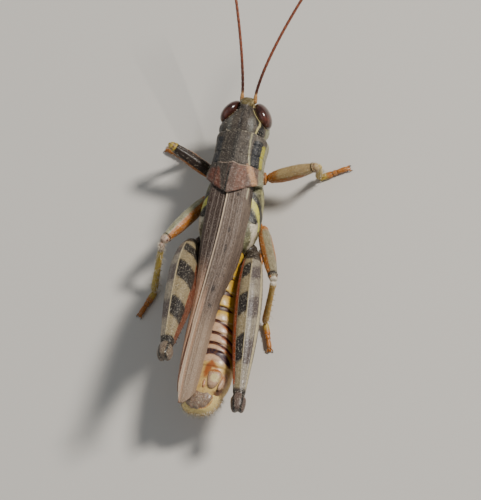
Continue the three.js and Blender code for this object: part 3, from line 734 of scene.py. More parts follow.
def behind_seam(q):
    return smooth(q.y - seam_line(-5.8, q.x), -0.05, 0.08)


SHOULDER = [(0.8, -7.95, 0), (0.8, -7.4, 0), (0.88, -6.5, 0), (1.02, -5.8, 0)]
TAN_SHOULDER = [(1.05, -5.72, 0), (1.32, -5.1, 0), (1.64, -4.45, 0)]
SHIELD_COATS = {
    "rear_field": (0x685045, 0.6, lambda p, q: behind_seam(q)),
    "salmon": (0x895F4E, 1.2, 0.4, lambda p, q: (
        0.55 * behind_seam(q) * smooth(q.x, 0.2, 0.5) * (1 - smooth(q.x, 0.9, 1.2))
    )),
    # Painted shade: most of the shield's left half is darkened as the side turned from the light.
    "left_half_painted_shade": (0x352D27, 0.9, 0.45, lambda p, q: (
        0.9 * smooth(p.x, 0.1, 0.35) * (1 - smooth(p.x, 0.9, 1.2) * smooth(p.y, -5.4, -5.0))
    )),
    "dark_middle": (0x2B2724, 0.9, 0.35, lambda p, q: (
        0.9 * (1 - behind_seam(q)) * bell(p.x - SHIELD["keel"], 0.2) * smooth(p.z, 5, 5.2)
    )),
    "red_shoulder": (0x5E3325, 0.8, 0.35, lambda p, q: (
        smooth(p.y, -5.55, -5.15) * smooth(p.x - 0.25 * (-4.0 - p.y), 0.3, 0.6) * smooth(p.z, 4.0, 4.6)
    )),
    "tan_shoulder": (0xBE9068, 0.7, 0.35, lambda p, q: (
        (p.x < 0) * from_above(q, TAN_SHOULDER, 0.2) * smooth(p.z, 4.5, 4.8)
    )),
    "keel_line": (0x120D0B, 0.2, 0.2, lambda p, q: (
        min(1.4 * bell(p.x - 0.07 - 0.04 * (p.y + 5.7), 0.075), 1) * behind_seam(q) * smooth(p.z, 5, 5.2)
    )),
    "lobe_dark": (0x1B1E25, 0.6, lambda p, q: (
        span(q.y, -7.5, -5.75, 0.12) * smooth(q.x, 0.96, 1.06) * smooth(q.z, 4.78, 4.9)
    )),
    # The pale shoulder stripe is strong on the right and painted faint on the left, as if in shade.
    "shoulder": (0xB4AC86, 1.3, 0.3, lambda p, q: (
        (0.7 if p.x < 0 else 0.2) * from_above(q, SHOULDER, 0.08) * smooth(p.z, 4.9, 5.1)
    )),
    "lobe_pale": (0x9B987C, 0.6, 0.3, lambda p, q: (
        smooth(q.x, 1.1, 1.3) * (1 - smooth(q.z, 4.3, 4.5))
        + 0.6 * smooth(q.y, -5.85, -5.6) * smooth(q.x, 1.5, 1.6) * (1 - smooth(q.z, 4.75, 4.95))
    )),
    "lobe_yellow": (0xB3AA3C, 0.5, 0.25, lambda p, q: (
        (0.95 if p.x < 0 else 0.3) * span(p.y, -7.35, -5.8, 0.2)
        * span(p.z, 4.42, 4.82, 0.08) * smooth(q.x, 1.1, 1.3)
    )),
    "lobe_low": (0x7F8064, 0.7, 0.3, lambda p, q: 0.7 * span(q.z, 2.9, 3.6, 0.2) * span(q.y, -7.3, -5.4, 0.3)),
    "seam_line": (0xB09A86, 0.9, 0.25, lambda p, q: (
        0.7 * bell(q.y - seam_line(-5.8, q.x), 0.045) * smooth(q.z, 4.9, 5.1) * (q.x < 1.1)
    )),
    "edge_bead": (0xC0B7A2, 1.6, lambda p, q: 0.5 * bell(q.y + 8.05 - 0.1 * q.x, 0.09)),
}
shield_finish = cuticle(
    "shield_cuticle", 0x463E36, 0x5F564C, 0x1E1916, painted(shield, SHIELD_COATS, 0),
    rough=0.45, fineness=9.5, pits=0.9, relief=0.032, fleck=0xC9BFAE,
)
plant_hairs(shield, Matrix(), (-8.1, -3.5), "body", 260, 0.12, 4, (0, 3.9), lambda p: p.z < 4.6)
finish_piece("saddle_shield", shield, shield_finish, ["pronotum"])

# ---- Trunk behind the shield
# The wing-bearing box of the body: side plates fused along slanting seams and crossed by pale
# slanting stripes, a broad breastplate below, and a roof drawn in under the folded wings.

SIDE_SEAMS = (
    [(1.5, -4.6, 4.3), (1.85, -3.6, 3.0), (1.7, -3.1, 2.1)],
    [(1.6, -3.6, 4.2), (1.9, -2.6, 3.0), (1.8, -2.1, 2.1)],
    [(1.6, -2.6, 4.1), (1.9, -1.7, 3.1), (1.75, -1.2, 2.4)],
)
# Markings drawn on the animal's side: how far along and how high, with nothing for how far out.
YELLOW_STRIPE = [(0, -3.95, 4.1), (0, -3.67, 3.94), (0, -3.0, 3.6), (0, -2.25, 3.17)]
DARK_FURROWS = (
    [(0, -4.4, 4.15), (0, -4.0, 3.85), (0, -3.5, 3.5), (0, -2.95, 3.25)],
    [(0, -4.1, 4.2), (0, -3.7, 4.25), (0, -3.3, 4.15)],
    [(0, -3.4, 3.45), (0, -3.15, 2.85)],
    [(0, -3.0, 3.3), (0, -2.7, 2.8)],
    [(0, -3.3, 4.2), (0, -2.9, 4.0), (0, -2.6, 3.8)],
)
IVORY_PATCH = [(0, -2.3, 3.65), (0, -1.8, 3.45), (0, -1.1, 3.2)]
SIDE_PLATE = [(0, -4.6, 3.4), (0, -4.1, 3.1), (0, -3.4, 2.8)]


def from_side(p, path, width):
    """Near a path that is drawn on the side of the animal, however far out it lies there."""
    return near(Vector((0, p.y, p.z)), path, width)


def trunk_shape(co, share, across, lift):
    co.x *= 1 - 0.66 * smooth(co.z, 3.6, 4.7)


def trunk_relief(point):
    side = mirrored(point)
    height = -0.06 * max(near(side, seam, 0.05) for seam in SIDE_SEAMS)
    if point.z < 2.2:
        height -= 0.05 * bell(point.y + 3.9, 0.05) + 0.05 * bell(point.y + 2.3, 0.05) + 0.03 * bell(point.x, 0.05)
    return height + 0.02 * noise.noise(point * 3)


trunk = form(
    [
        (-5.6, 0, 2.95, 1.68, 2.0, 1.4),
        (-3.8, 0, 2.95, 1.91, 2.0, 1.4),
        (-2.2, 0, 2.95, 1.95, 2.0, 1.4),
        (-0.5, 0, 2.95, 1.56, 1.8, 1.35),
    ],
    120, 110, blunt=6, shape=trunk_shape,
)
emboss(trunk, trunk_relief)
TRUNK_COATS = {
    "low_side": (0x7F7B5A, 0.7, 0.35, lambda p: span(p.z, 2.1, 3.1, 0.25)),
    "breast": (0xA79A5E, 0.4, lambda p: 1 - smooth(p.z, 1.9, 2.4)),
    "side_plate": (0xA39E68, 0.6, 0.3, lambda p: 0.9 * from_side(p, SIDE_PLATE, 0.3)),
    "ivory": (0xD2C6AC, 0.9, 0.2, lambda p: min(1.2 * from_side(p, IVORY_PATCH, 0.3), 1)),
    "furrow": (0x16130F, 0.8, 0.25, lambda p: (
        max(min(1.5 * from_side(p, path, 0.16), 1) for path in DARK_FURROWS)
    )),
    "yellow_stripe": (0xCDC652, 0.3, 0.2, lambda p: min(1.3 * from_side(p, YELLOW_STRIPE, 0.14), 1)),
    "roof": (0x4A3B34, 0.3, lambda p: smooth(p.z, 4.1, 4.5) * (1 - smooth(abs(p.x), 1.2, 1.5))),
}
trunk_finish = cuticle(
    "trunk_cuticle", 0x504C37, 0x77734F, 0x221E19, painted(trunk, TRUNK_COATS),
    rough=0.42, fineness=7.0, pits=0.6, relief=0.02, fleck=0xBDB79A,
)
finish_piece("trunk_plates", trunk, trunk_finish, ["thorax"])

# ---- Abdomen
# Nine rings of thin plate that overlap backwards like roof tiles, a fold along each side where
# the upper and lower plates meet, and a dark bar across the front of every ring.

ABDOMEN = {"front": -1.5, "rear": 9.75, "half_width": 1.38, "middle": 2.9, "rise": 1.2, "drop": 1.15}
RING_FRONTS = (-1.5, -0.9, 0.15, 1.2, 2.3, 3.35, 4.32, 5.12, 5.8, 6.35, 7.35, 9.75)


def swing(along):
    """How far the abdomen's middle lies to the side."""
    return -0.98 * smooth(along, 0, 8.4) + 0.24 * max(0, along - 7.6)


def ring_phase(along):
    """Where in its ring a point lies, from 0 at the ring's front to 1 at its back edge."""
    along = min(max(along, RING_FRONTS[0]), RING_FRONTS[-1] - 0.001)
    ring = max(k for k, start in enumerate(RING_FRONTS) if start <= along)
    return (along - RING_FRONTS[ring]) / (RING_FRONTS[ring + 1] - RING_FRONTS[ring])


def abdomen_shape(co, share, across, lift):
    start, length = ABDOMEN["front"], ABDOMEN["rear"] - ABDOMEN["front"]
    co.y = start + length * math.acos(max(-1, min(1, 1 - 2 * share))) / math.pi
    share = (co.y - start) / length
    swell = max(1 - abs(2 * share - 1) ** 6, 0) ** (1 / 6)
    side, middle, half, rise, drop = abdomen_rows(round(co.y, 4))
    phase = ring_phase(co.y)
    step = smooth(phase, 0.0, 0.85) * (1 - smooth(phase, 0.93, 1.0))
    unit = Vector((across, lift)).normalized() if share not in (0, 1) else Vector((0, 0))
    bow = 0.02 * bell(phase - 0.5, 0.3)
    fold = 0.07 * bell(unit.y + 0.32, 0.08)
    scale = swell * (1 - 0.02 + 0.065 * step + bow - fold)
    pore = 0.03 * bell(Vector(((phase - 0.35) * 1.25, (unit.y + 0.12) * 1.3)).length, 0.06)
    co.x = side + half * (scale - pore) * unit.x
    co.z = middle + (rise if unit.y > 0 else drop) * scale * unit.y


fullness = {-1.5: 0.95, 1: 1, 3.5: 0.98, 6: 0.97, 8: 0.96, 9.75: 0.84}
rows = [
    (along, swing(along), ABDOMEN["middle"], *(ABDOMEN[key] * full for key in ("half_width", "rise", "drop")))
    for along, full in fullness.items()
]
abdomen_rows = reading(rows)
belly = form(rows, 88, 234, blunt=2, square=2, shape=abdomen_shape)


def aside(p):
    """How far a point lies from the abdomen's middle line, whichever side it is on."""
    return abs(p.x - swing(p.y))


def wedge(p, start):
    """A dark wedge at a ring's front, widest under the wing's edge and gone lower down."""
    half = 0.2 * (1 - smooth(aside(p), 0.8, 1.25))
    return (half > 0.02) * (p.z > 2.9) * bell(p.y - start - 0.1 - 0.3 * max(0, aside(p) - 0.8), max(half, 0.02))


def arc(p, start, lean, width):
    """A thin bar across the top of a ring that leans back as it runs down the side."""
    return bell(p.y - start - lean * aside(p) ** 2.2, width) * smooth(p.z, 2.75, 3.1)


LAST_SEAM = [(-1.0, 7.05, 0), (-1.4, 7.45, 0), (-1.85, 8.0, 0)]
TAIL_SIDE = [(-1.85, 7.8, 3.5), (-1.95, 8.35, 3.5)]
TAIL_PAINTED_SHADE = [(-1.75, 8.75, 3.5), (-1.6, 9.0, 3.6)]
LAST_ARC = [(-0.85, 7.35, 4.05), (-0.75, 7.9, 3.9)]
WEDGED, ARCHED = RING_FRONTS[2:6], RING_FRONTS[6:9]  # the rings with a dark wedge, and with an arc


def arc_shade_and_orange(p):
    """Painted soft shade in orange behind each arc's dark bar, and orange on the last ring and along its seam."""
    arcs = max(arc(p, start + 0.12, 0.38, 0.15) * smooth(aside(p), 0.2, 0.9) for start in ARCHED)
    return arcs + near(p, LAST_ARC, 0.26) + 0.65 * from_above(p, LAST_SEAM, 0.14) * smooth(p.z, 3.2, 3.5)


ABDOMEN_COATS = {
    "rear_tint": (0xC4A282, 0.6, 0.4, lambda p: (
        smooth(p.y, 3.4, 4.6) * (1 - smooth(aside(p), 0.75, 1.15)) * smooth(p.z, 2.8, 3.3)
        + near(p, TAIL_SIDE, 0.35)
    )),
    "side_dark": (0x5A3520, 0.5, lambda p: (
        (p.y < 6.3) * span((p.z - 2.9) / 1.2, -0.35, 0.0, 0.08) * span(ring_phase(p.y), 0.12, 0.5, 0.08)
    )),
    "ring_edge": (0xDCC78C, 0.4, 0.3, lambda p: 0.6 * bell(ring_phase(p.y) - 0.97, 0.06) * (p.y < 6.2)),
    "rear_band": (0xCFAE6C, 0.4, 0.3, lambda p: smooth(p.y, 6.9, 7.2) * (1 - near(p, TAIL_SIDE, 0.3))),
    # Painted soft shade in orange behind each dark arc, and orange on the last ring.
    "arc_shade_and_orange": (0x9C5628, 0.5, 0.35, arc_shade_and_orange),
    "ring_arc": (0x401812, 0.3, 0.2, lambda p: (
        max(arc(p, start, 0.36, 0.12) for start in ARCHED) * (1 - smooth(aside(p), 1.15, 1.3))
    )),
    "front_wedge": (0x3A1B0E, 0.3, 0.2, lambda p: max(wedge(p, start) for start in WEDGED)),
    "dark_saddle": (0x36202A, 0.3, 0.2, lambda p: (
        arc(p, 6.36, 0.5, 0.22 + 0.14 * bell(aside(p) - 0.8, 0.35)) * (1 - smooth(aside(p), 1.1, 1.25))
    )),
    # Painted shade: a brownish patch on the side of the tail near its end.
    "tail_painted_shade": (0x5E4234, 0.6, 0.35, lambda p: 0.9 * near(p, TAIL_PAINTED_SHADE, 0.3)),
}
abdomen_finish = cuticle(
    "abdomen_rings", 0xB9922C, 0xCAA53A, 0x8A5826, painted(belly, ABDOMEN_COATS),
    rough=0.36, fineness=5.0, pits=0.3, relief=0.012, gloss=0.1,
)
plant_hairs(belly, Matrix(), (-1.5, 9.75), "tail", 300, 0.2, 8, (-0.5, 2.9), lambda p: p.z < 3.0 and p.y > 2.0)
finish_piece("abdomen_plates", belly, abdomen_finish, ["abdomen"])

# ---- Tail
# The male's last lower plate is an upturned cup, closed on top by a soft wrinkled membrane. A
# small shield lies over its front, with a blunt feeler on each side.

# The dark outline marking draws a line across the membrane and along the small shield's back edge, and is elsewhere
# painted shade: in the crease between the cup's rim and hollow, low where the membrane meets the cup and low on the
# small shield's sides. On each tail feeler it darkens one side.
TAIL_MARKS = {
    "rim": (0xD8BD76, 0.4, 0.3), "pink": (0xBC9A7E, 0.5, 0.3), "orange": (0xA86030, 0.5, 0.3),
    "hollow": (0x7E6A5C, 0.5, 0.3), "knob": (0xD2BF88, 0.5, 0.4), "outline": (0x41221A, 0.5, 0.3),
}
tail_finish = cuticle(
    "tail_plates_cuticle", 0xC4A052, 0xD0B478, 0x8A5F36, [(key, *values) for key, values in TAIL_MARKS.items()],
    rough=0.38, fineness=7.0, pits=0.5, relief=0.02, gloss=0.1, fleck=0xE4D8B6,
)


def tail_marks(bm, **wanted):
    """The tail markings, each nothing unless it is given."""
    for key in TAIL_MARKS:
        mark(bm, key, wanted.get(key, lambda p: 0.0))


CUP_MIDDLE = Vector((-0.5, 9.33))


def cup_inside(p):
    """How far in from the cup's rim a point of its mouth lies: 1 in the middle, 0 at the rim."""
    return 1 - Vector(((p.x - CUP_MIDDLE.x) / 1.08, (p.y - CUP_MIDDLE.y) / 0.95)).length


def cup_shape(co, share, across, lift):
    if lift > 0:
        co.z -= 0.5 * smooth(cup_inside(co), 0.2, 0.4)
        co.z += 0.05 * bell(cup_inside(co) - 0.12, 0.14)


cup = form(
    [
        (8.35, swing(8.35), 2.78, 1.22, 0.95, 1.02),
        (9.3, swing(9.3), 2.84, 1.2, 1.0, 1.05),
        (10.3, swing(10.3), 3.0, 1.04, 0.82, 0.95),
    ],
    72, 64, blunt=3, shape=cup_shape,
)
emboss(cup, lambda p: 0.02 * noise.noise(p * 4))
# Painted shade in the crease between the rim and the hollow.
tail_marks(
    cup,
    rim=lambda p: smooth(p.z, 2.9, 3.3),
    orange=lambda p: (
        0.75 * bell(cup_inside(p) - 0.18, 0.05) * smooth(p.z, 3.0, 3.2) + 0.6 * (1 - smooth(p.z, 2.4, 3.0))
    ),
    hollow=lambda p: smooth(cup_inside(p), 0.28, 0.34) * smooth(p.z, 3.0, 3.2),
    outline=lambda p: 0.7 * bell(cup_inside(p) - 0.32, 0.03) * smooth(p.z, 3.0, 3.2),
)
plant_hairs(cup, Matrix(), (8.3, 10.4), "tail", 420, 0.3, 6, (-0.5, 2.9), lambda p: p.z < 3.3 and p.y > 9.0)
finish_piece("tail_cup", cup, tail_finish, ["subgenital_plate"])
membrane = form(
    [(8.7, -0.74, 3.45, 0.7, 0.42, 0.3), (9.4, -0.54, 3.5, 0.8, 0.48, 0.3), (10.15, -0.36, 3.5, 0.68, 0.42, 0.3)],
    56, 48,
)
emboss(membrane, lambda p: (
    0.02 * math.sin(p.x * 15 + 4 * noise.noise(p * 2)) * smooth(p.z, 3.5, 3.8) + 0.04 * noise.noise(p * 4)
))
# Painted shade low on the membrane where it meets the cup, and a dark line across it.
tail_marks(
    membrane,
    hollow=lambda p: 1,
    pink=lambda p: 0.5 * bell(Vector((p.x + 0.75, p.y - 9.3)).length, 0.25),
    outline=lambda p: 0.55 * (1 - smooth(p.z, 3.5, 3.68)) + 0.5 * bell(p.x + 0.5 + 0.1 * p.y - 0.94, 0.04),
)
finish_piece("tail_membrane", membrane, tail_finish, ["pallium"])
shield_plate = form(
    [
        (7.5, -1.32, 3.96, 0.44, 0.26, 0.36),
        (8.1, -1.3, 3.98, 0.41, 0.26, 0.36),
        (8.75, -1.22, 3.94, 0.28, 0.24, 0.36),
    ],
    56, 48, blunt=3,
)
KNOB = Vector((-1.4, 8.1))


def from_knob(p):
    return (Vector((p.x, p.y)) - KNOB).length


def shield_plate_relief(p):
    return 0.05 * bell(from_knob(p), 0.28) - 0.03 * bell(p.y - 7.72, 0.04)


emboss(shield_plate, shield_plate_relief)
# Painted shade low on its sides, and a dark line along its back edge.
tail_marks(
    shield_plate,
    pink=lambda p: smooth(p.y, 7.65, 7.8),
    orange=lambda p: 0.8 * (1 - smooth(p.y, 7.62, 7.85)),
    knob=lambda p: 1 - smooth(from_knob(p), 0.16, 0.4),
    outline=lambda p: 0.55 * (1 - smooth(p.z, 3.8, 3.95)) + 0.4 * bell(p.y - 8.62, 0.08),
)
finish_piece("tail_shield", shield_plate, tail_finish, ["supra_anal_plate"])


def limb(start, end, upward=(0, 0, 1)):
    """The place of a piece whose length, its own +Y, runs from one point towards another."""
    along = (Vector(end) - Vector(start)).normalized()
    side = along.cross(Vector(upward)).normalized()
    turned = Matrix((side, along, side.cross(along))).transposed().to_4x4()
    return Matrix.Translation(Vector(start)) @ turned


for suffix, side in (("L", LEFT), ("R", RIGHT)):
    cercus = form(
        [(0, 0, 0, 0.2, 0.2, 0.2), (0.5, 0, 0, 0.16, 0.2, 0.2), (0.98, 0, 0, 0.1, 0.14, 0.14)], 24, 24, square=2
    )
    tail_marks(
        cercus,
        pink=lambda p: 1,
        orange=lambda p: 0.25 + 0.3 * (side == LEFT) + 0.3 * (1 - smooth(p.y, 0.2, 0.45)),
        outline=lambda p: 0.5 * smooth(p.x, 0.02, 0.12),
    )
    place = limb((-1.3 + side * 0.56, 7.85, 3.62 + side * 0.08), (-1.22 + side * 0.48, 8.75, 3.9 + side * 0.08))
    finish_piece(f"tail_feeler_{suffix}", cercus, tail_finish, [f"cercus_{suffix}"], place)

# ---- Fore wings
# Two leathery blades folded like a narrow roof over the back, the right one lapping over the
# left. Each is stiffened by long veins with a fine net between, and is mottled grey and brown.

WING = {"front": -5.6, "ridge": 5.5, "ridge_at_tip": 4.55, "shoulder": 0.42, "splay": 0.16, "skin": 0.07}
wing_fields = {
    rear: reading([
        (-5.6, 0.8, 0.6), (-3.2, 0.86, 1.0), (-0.8, 0.76, 1.3), (1.3, 0.57, 1.25),
        (3, 0.37, 1.1), (6.4, 0.3, 0.95), (8.6, 0.2, 0.85), (rear, 0, 0.2),
    ])
    for rear in (WING_TIP, WING_TIP - 0.4)
}


def ridge_height(along):
    back_share = min(max((along + 4) / 14.2, 0), 1)
    return WING["ridge"] + (WING["ridge_at_tip"] - WING["ridge"]) * back_share**1.6


def ridge_swing(along):
    return 0.3 * smooth(along, -2, 9)


def lap(along):
    """How far the right wing's inner edge passes over the middle."""
    return 0.02 + 0.5 * smooth(along, -4, 10)


# Each long vein: its place across the wing, as a share, at the base and at the tip.
VEINS = (
    (0.07, 0.1), (0.2, 0.24), (0.33, 0.36), (0.46, 0.5), (0.53, 0.57),
    (0.6, 0.64), (0.67, 0.71), (0.74, 0.78), (0.88, 0.9),
)
# Each dark spot of the right wing: across, along, half width and half length.
WING_SPOTS = (
    (0.6, -1.35, 0.1, 0.16), (0.62, -0.1, 0.07, 0.28), (0.85, -2.6, 0.05, 0.1),
    (0.46, 2.6, 0.14, 0.22), (0.5, 3.7, 0.12, 0.16), (0.35, -4.1, 0.05, 0.2),
    (0.75, -3.75, 0.12, 0.14), (1.3, -1.0, 0.05, 0.1), (1.0, 1.6, 0.06, 0.12),
)
WING_LAYERS = {
    "rear": (0xA58C74, 0.75), "left_wing_shade_and_band": (0x33231C, 0.95), "blush": (0xB48B6E, 0.8), "spots": (0x2A1F1B, 0.9),
    "edge_line": (0xCBB49A, 1.0),
    "sheer": (0x5A2413, 0.9), "low_edge_dark_and_shade": (0x241713, 0.9), "pale_base": (0xB9B294, 0.9),
}


def wing_blade(side, rear):
    """A fore wing as a grid bent over the shoulder, with its own across and along kept."""
    bm = bmesh.new()
    bmesh.ops.create_grid(bm, x_segments=110, y_segments=250, size=0.5)
    flat = bm.verts.layers.float_vector.new("flat")
    fields, bend = wing_fields[rear], math.pi / 2 - WING["splay"]
    length = rear - WING["front"]
    for vert in bm.verts:
        share, spread = vert.co.y + 0.5, vert.co.x + 0.5
        along = WING["front"] + length * share
        level, steep = fields(round(along, 4))
        inner = lap(along) if side == RIGHT else 0.0
        width = inner + level + WING["shoulder"] * bend + steep
        tip = max(1 - max(0, (share - 0.9) / 0.1), 0.03) ** 0.5
        across = (spread * tip + 0.3 * (1 - tip)) * width - inner
        vein = max(bell(spread - (a + (b - a) * share), 0.011) for a, b in VEINS)
        turn = min(max((across - level) / WING["shoulder"], 0), bend)
        past = max(0, across - level - WING["shoulder"] * bend)
        depth = -0.03 + 0.022 * vein + 0.008 * noise.noise(Vector((across * 3, along * 1.2, side * 7)))
        depth -= 0.12 * (1 - smooth(across, lap(along), lap(along) + 0.2)) * (side == LEFT)
        level_part = min(across, level)
        out = level_part + (WING["shoulder"] + depth) * math.sin(turn) + past * math.cos(turn)
        drop = 0.12 * abs(level_part) + WING["shoulder"] * (1 - math.cos(turn)) + past * math.sin(turn)
        vert[flat] = Vector((across, along, vein))
        vert.co = (side * out + ridge_swing(along), along, ridge_height(along) - drop + depth * math.cos(turn))
    bmesh.ops.recalc_face_normals(bm, faces=bm.faces)
    bmesh.ops.solidify(bm, geom=bm.verts[:] + bm.edges[:] + bm.faces[:], thickness=WING["skin"])
    return bm


def leather_finish():
    finish = bpy.data.materials.new("wing_leather")
    finish.use_nodes = True
    tree = finish.node_tree
    shader = tree.nodes["Principled BSDF"]
    own = add(tree, "Attribute", attribute_name="flat").outputs["Vector"]
    cells_place = add(tree, "VectorMath", {0: own, 1: (8.5, 3.4, 0.0)}, operation="MULTIPLY").outputs[0]
    cells = add(tree, "TexVoronoi", {"Vector": cells_place, "Scale": 1.0}, feature="DISTANCE_TO_EDGE")
    limits = {0: cells.outputs["Distance"], 1: 0.0, 2: 0.14, 3: 1.0, 4: 0.0}
    net = add(tree, "MapRange", limits, interpolation_type="SMOOTHSTEP").outputs[0]
    streak_place = add(tree, "VectorMath", {0: own, 1: (7.0, 0.5, 0.0)}, operation="MULTIPLY").outputs[0]
    streak = add(
        tree, "TexNoise", {"Vector": streak_place, "Scale": 1.6, "Detail": 4.0, "Roughness": 0.6}
    ).outputs[0]
    streaked = add(tree, "MapRange", {0: streak, 1: 0.4, 2: 0.62}).outputs[0]
    line_place = add(tree, "VectorMath", {0: own, 1: (1.0, 0.16, 0.0)}, operation="MULTIPLY").outputs[0]
    wave = {"Vector": line_place, "Scale": 1.5, "Distortion": 3.0, "Detail": 3.0, "Detail Scale": 1.4}
    lines = add(tree, "TexWave", wave).outputs["Fac"]
    lined = add(tree, "MapRange", {0: lines, 1: 0.7, 2: 0.95}, interpolation_type="SMOOTHSTEP").outputs[0]
    grains = use_group(tree, grain, {"Place": own, "Fineness": 9.0, "Pits": 0.0})
    colour = coat(tree, shade(0x4C3D34), shade(0x64544A), streaked)
    for layer, (code, strength) in WING_LAYERS.items():
        amount = add(tree, "Attribute", attribute_name=layer).outputs["Fac"]
        values = {"Place": own, "Strength": amount, "Fineness": 6.0, "Wobble": 0.5, "Soft": 0.4}
        colour = coat(
            tree, colour, shade(code), sums(tree, "MULTIPLY", use_group(tree, ragged, values)["Mask"], strength)
        )
        if layer == "rear":
            colour = coat(tree, colour, shade(0x3A2A23), sums(tree, "MULTIPLY", grains["Speck"], 0.5))
            colour = coat(tree, colour, shade(0xA08F80), sums(tree, "MULTIPLY", lined, 0.1))
            colour = coat(tree, colour, shade(0xA08A76), sums(tree, "MULTIPLY", net, 0.24))
    vein = add(tree, "SeparateXYZ", {0: own}).outputs[2]
    colour = coat(tree, colour, shade(0xA29082), sums(tree, "MULTIPLY", vein, 0.22))
    colour = coat(tree, colour, shade(0xD2C4B2), sums(tree, "MULTIPLY", grains["Fleck"], 0.5))
    tree.links.new(colour, shader.inputs["Base Color"])
    shader.inputs["Roughness"].default_value = 0.5
    shader.inputs["Specular IOR Level"].default_value = 0.35
    height = sums(tree, "ADD", net, sums(tree, "MULTIPLY", streak, 0.8))
    bump = add(tree, "Bump", {"Strength": 0.7, "Distance": 0.012 * MM, "Height": height})
    tree.links.new(bump.outputs[0], shader.inputs["Normal"])
    return finish


leather = leather_finish()
for suffix, side, rear in (("R", RIGHT, WING_TIP), ("L", LEFT, WING_TIP - 0.4)):
    blade = wing_blade(side, rear)
    flat = blade.verts.layers.float_vector["flat"]
    layers = {key: blade.verts.layers.float.new(key) for key in WING_LAYERS}
    on_top = side == RIGHT
    for vert in blade.verts:
        across, along, vein = vert[flat]
        edge = across + lap(along) * on_top
        back_part = smooth(along, 2.0, 7.0)
        # Painted shade darkens the whole left wing, most at the front, as the wing on the shaded side; on the right
        # wing this marking lays a dark band along the low flank.
        vert[layers["left_wing_shade_and_band"]] = (
            (not on_top) * (1 - 0.6 * back_part)
            + on_top * 0.5 * bell(across - 1.6, 0.25) * smooth(along, -3.4, -2.6)
        )
        vert[layers["rear"]] = on_top * back_part + 0.45 * (not on_top) * back_part
        vert[layers["blush"]] = (
            on_top * smooth(along, 1, 5) * (1 - smooth(edge, 0.32, 0.5)) + 0.8 * (not on_top) * smooth(along, -1, 4)
        )
        spots = [
            bell(math.hypot((across - x) / half, (along - y) / length), 1.2) for x, y, half, length in WING_SPOTS
        ]
        vert[layers["spots"]] = on_top * max(spots)
        vert[layers["edge_line"]] = (
            on_top * (bell(edge - 0.05, 0.05) + smooth(along, 1, 6) * 0.8 * bell(edge - 0.2, 0.12))
        )
        vert[layers["sheer"]] = on_top * smooth(along, 4.0, 6.0) * (1 - smooth(edge, 0.04, 0.12))
        # Dark along both wings' low outer edge at the front, and painted shade along the left wing's low edge.
        vert[layers["low_edge_dark_and_shade"]] = (
            smooth(across, 1.5, 2.0) * (1 - smooth(along, -4.4, -2.6)) + (not on_top) * smooth(across, 1.45, 1.8)
        )
        vert[layers["pale_base"]] = on_top * bell(across - 1.42, 0.12) * span(along, -4.9, -3.6, 0.2)
    finish_piece(f"fore_wing_{suffix}", blade, leather, [f"tegmen_{suffix}"])

# ---- Hind wings
# Clear fans, pleated lengthwise and put away under the fore wings, so that only their folded
# edges show where the body narrows.

fan_finish = cuticle("fan_membrane", 0x8F8069, 0xA39478, 0x4A3A30, rough=0.3, fineness=7.0, relief=0.006, gloss=0.2)
for suffix, side in (("L", LEFT), ("R", RIGHT)):
    depth = 0.3 if side == RIGHT else 0.8
    fan_rows = [
        (along, ridge_swing(along), ridge_height(along) - 0.5 - depth, 0.26, 0.2, 0.2)
        for along in (-3.2, 0, 3, 6.5)
    ]
    fan = form(
        fan_rows, 64, 60, blunt=5, square=2.8,
        shape=lambda co, share, across, lift: setattr(co, "z", co.z + 0.03 * math.sin(across * 22)),
    )
    finish_piece(f"fan_{suffix}", fan, fan_finish, [f"hind_wing_{suffix}"])

# ---- Walking legs
# Two pairs of short legs. Each has a stout hip, a small ring, a keeled thigh with a dark-marked
# knee, a bristly shin, and a padded foot of three joints that ends in a pair of claws.

ANKLE_HEIGHT = 0.5
LEGS = {
    "fore_leg_R": ((-1.35, -6.05, 2.3), (-5.05, -6.9, 3.6), (-4.5, -7.2), (-6.3, -8.2)),
    "fore_leg_L": ((1.35, -5.7, 2.1), (4.75, -6.95, 3.9), (4.15, -7.2), (5.9, -7.8)),
    "mid_leg_R": ((-1.6, -2.85, 2.1), (-3.76, 1.1, 3.75), (-2.97, 2.95), (-3.6, 4.7)),
    "mid_leg_L": ((1.65, -4.3, 2.1), (3.86, -0.38, 4), (4.6, 1.9), (5.3, 3.62)),
    "hind_leg_R": ((-1.95, -0.75, 3.1), (-3.3, 10.1, 4.3), (-1.85, 0.75), (-1.8, -2)),
    "hind_leg_L": ((2.05, -0.8, 3.15), (1.1, 8.48, 8.35), (2.35, 2.4), (2.75, -0.3)),
}


def segment(rows, start, end, around, along, upward=(0, 0, 1), **options):
    """A limb joint along its own +Y from rows that start with a share of its length."""
    length = (Vector(end) - Vector(start)).length
    rows = [(row[0] * length, 0, 0, *row[1:]) for row in rows]
    return form(rows, around, along, **options), limb(start, end, upward), length


LEG_MARKS = {
    "orange": 0xA8641E, "dark": 0x261C18, "yellow": 0xB59A3E, "pale": 0xB09684, "white": 0xCFC3B0, "ring": 0x1B1410,
    "maroon": 0x5A2A22,
}


def leg_cuticle(name, base, cloudy, speck, **options):
    coats = [(key, code, 0.5, 0.3) for key, code in LEG_MARKS.items()]
    return cuticle(name, base, cloudy, speck, coats, rough=0.38, fineness=8.0, pits=0.4, relief=0.014, **options)


leg_finish = {
    "fore_leg_R": leg_cuticle("leg_tan", 0xA0855A, 0xB59C6E, 0x6B4A22, fleck=0xC9BC98),
    # The left fore leg is a shaded copy of the right one, painted dark brown as if in shade.
    "fore_leg_L": leg_cuticle("leg_in_painted_shade", 0x2A201A, 0x3A2C22, 0x140E0B),
    "mid_leg_R": leg_cuticle("leg_grey", 0x7D7358, 0x978B6C, 0x4C3C28, fleck=0xC4BDA6),
    "mid_leg_L": leg_cuticle("leg_stone", 0x8A8668, 0xA7A48A, 0x4A4234, fleck=0xC8C4AC),
}


def mark_all(bm, wanted):
    """The leg markings, each nothing unless it is given."""
    for key in LEG_MARKS:
        mark(bm, key, wanted.get(key, lambda p: 0.0))


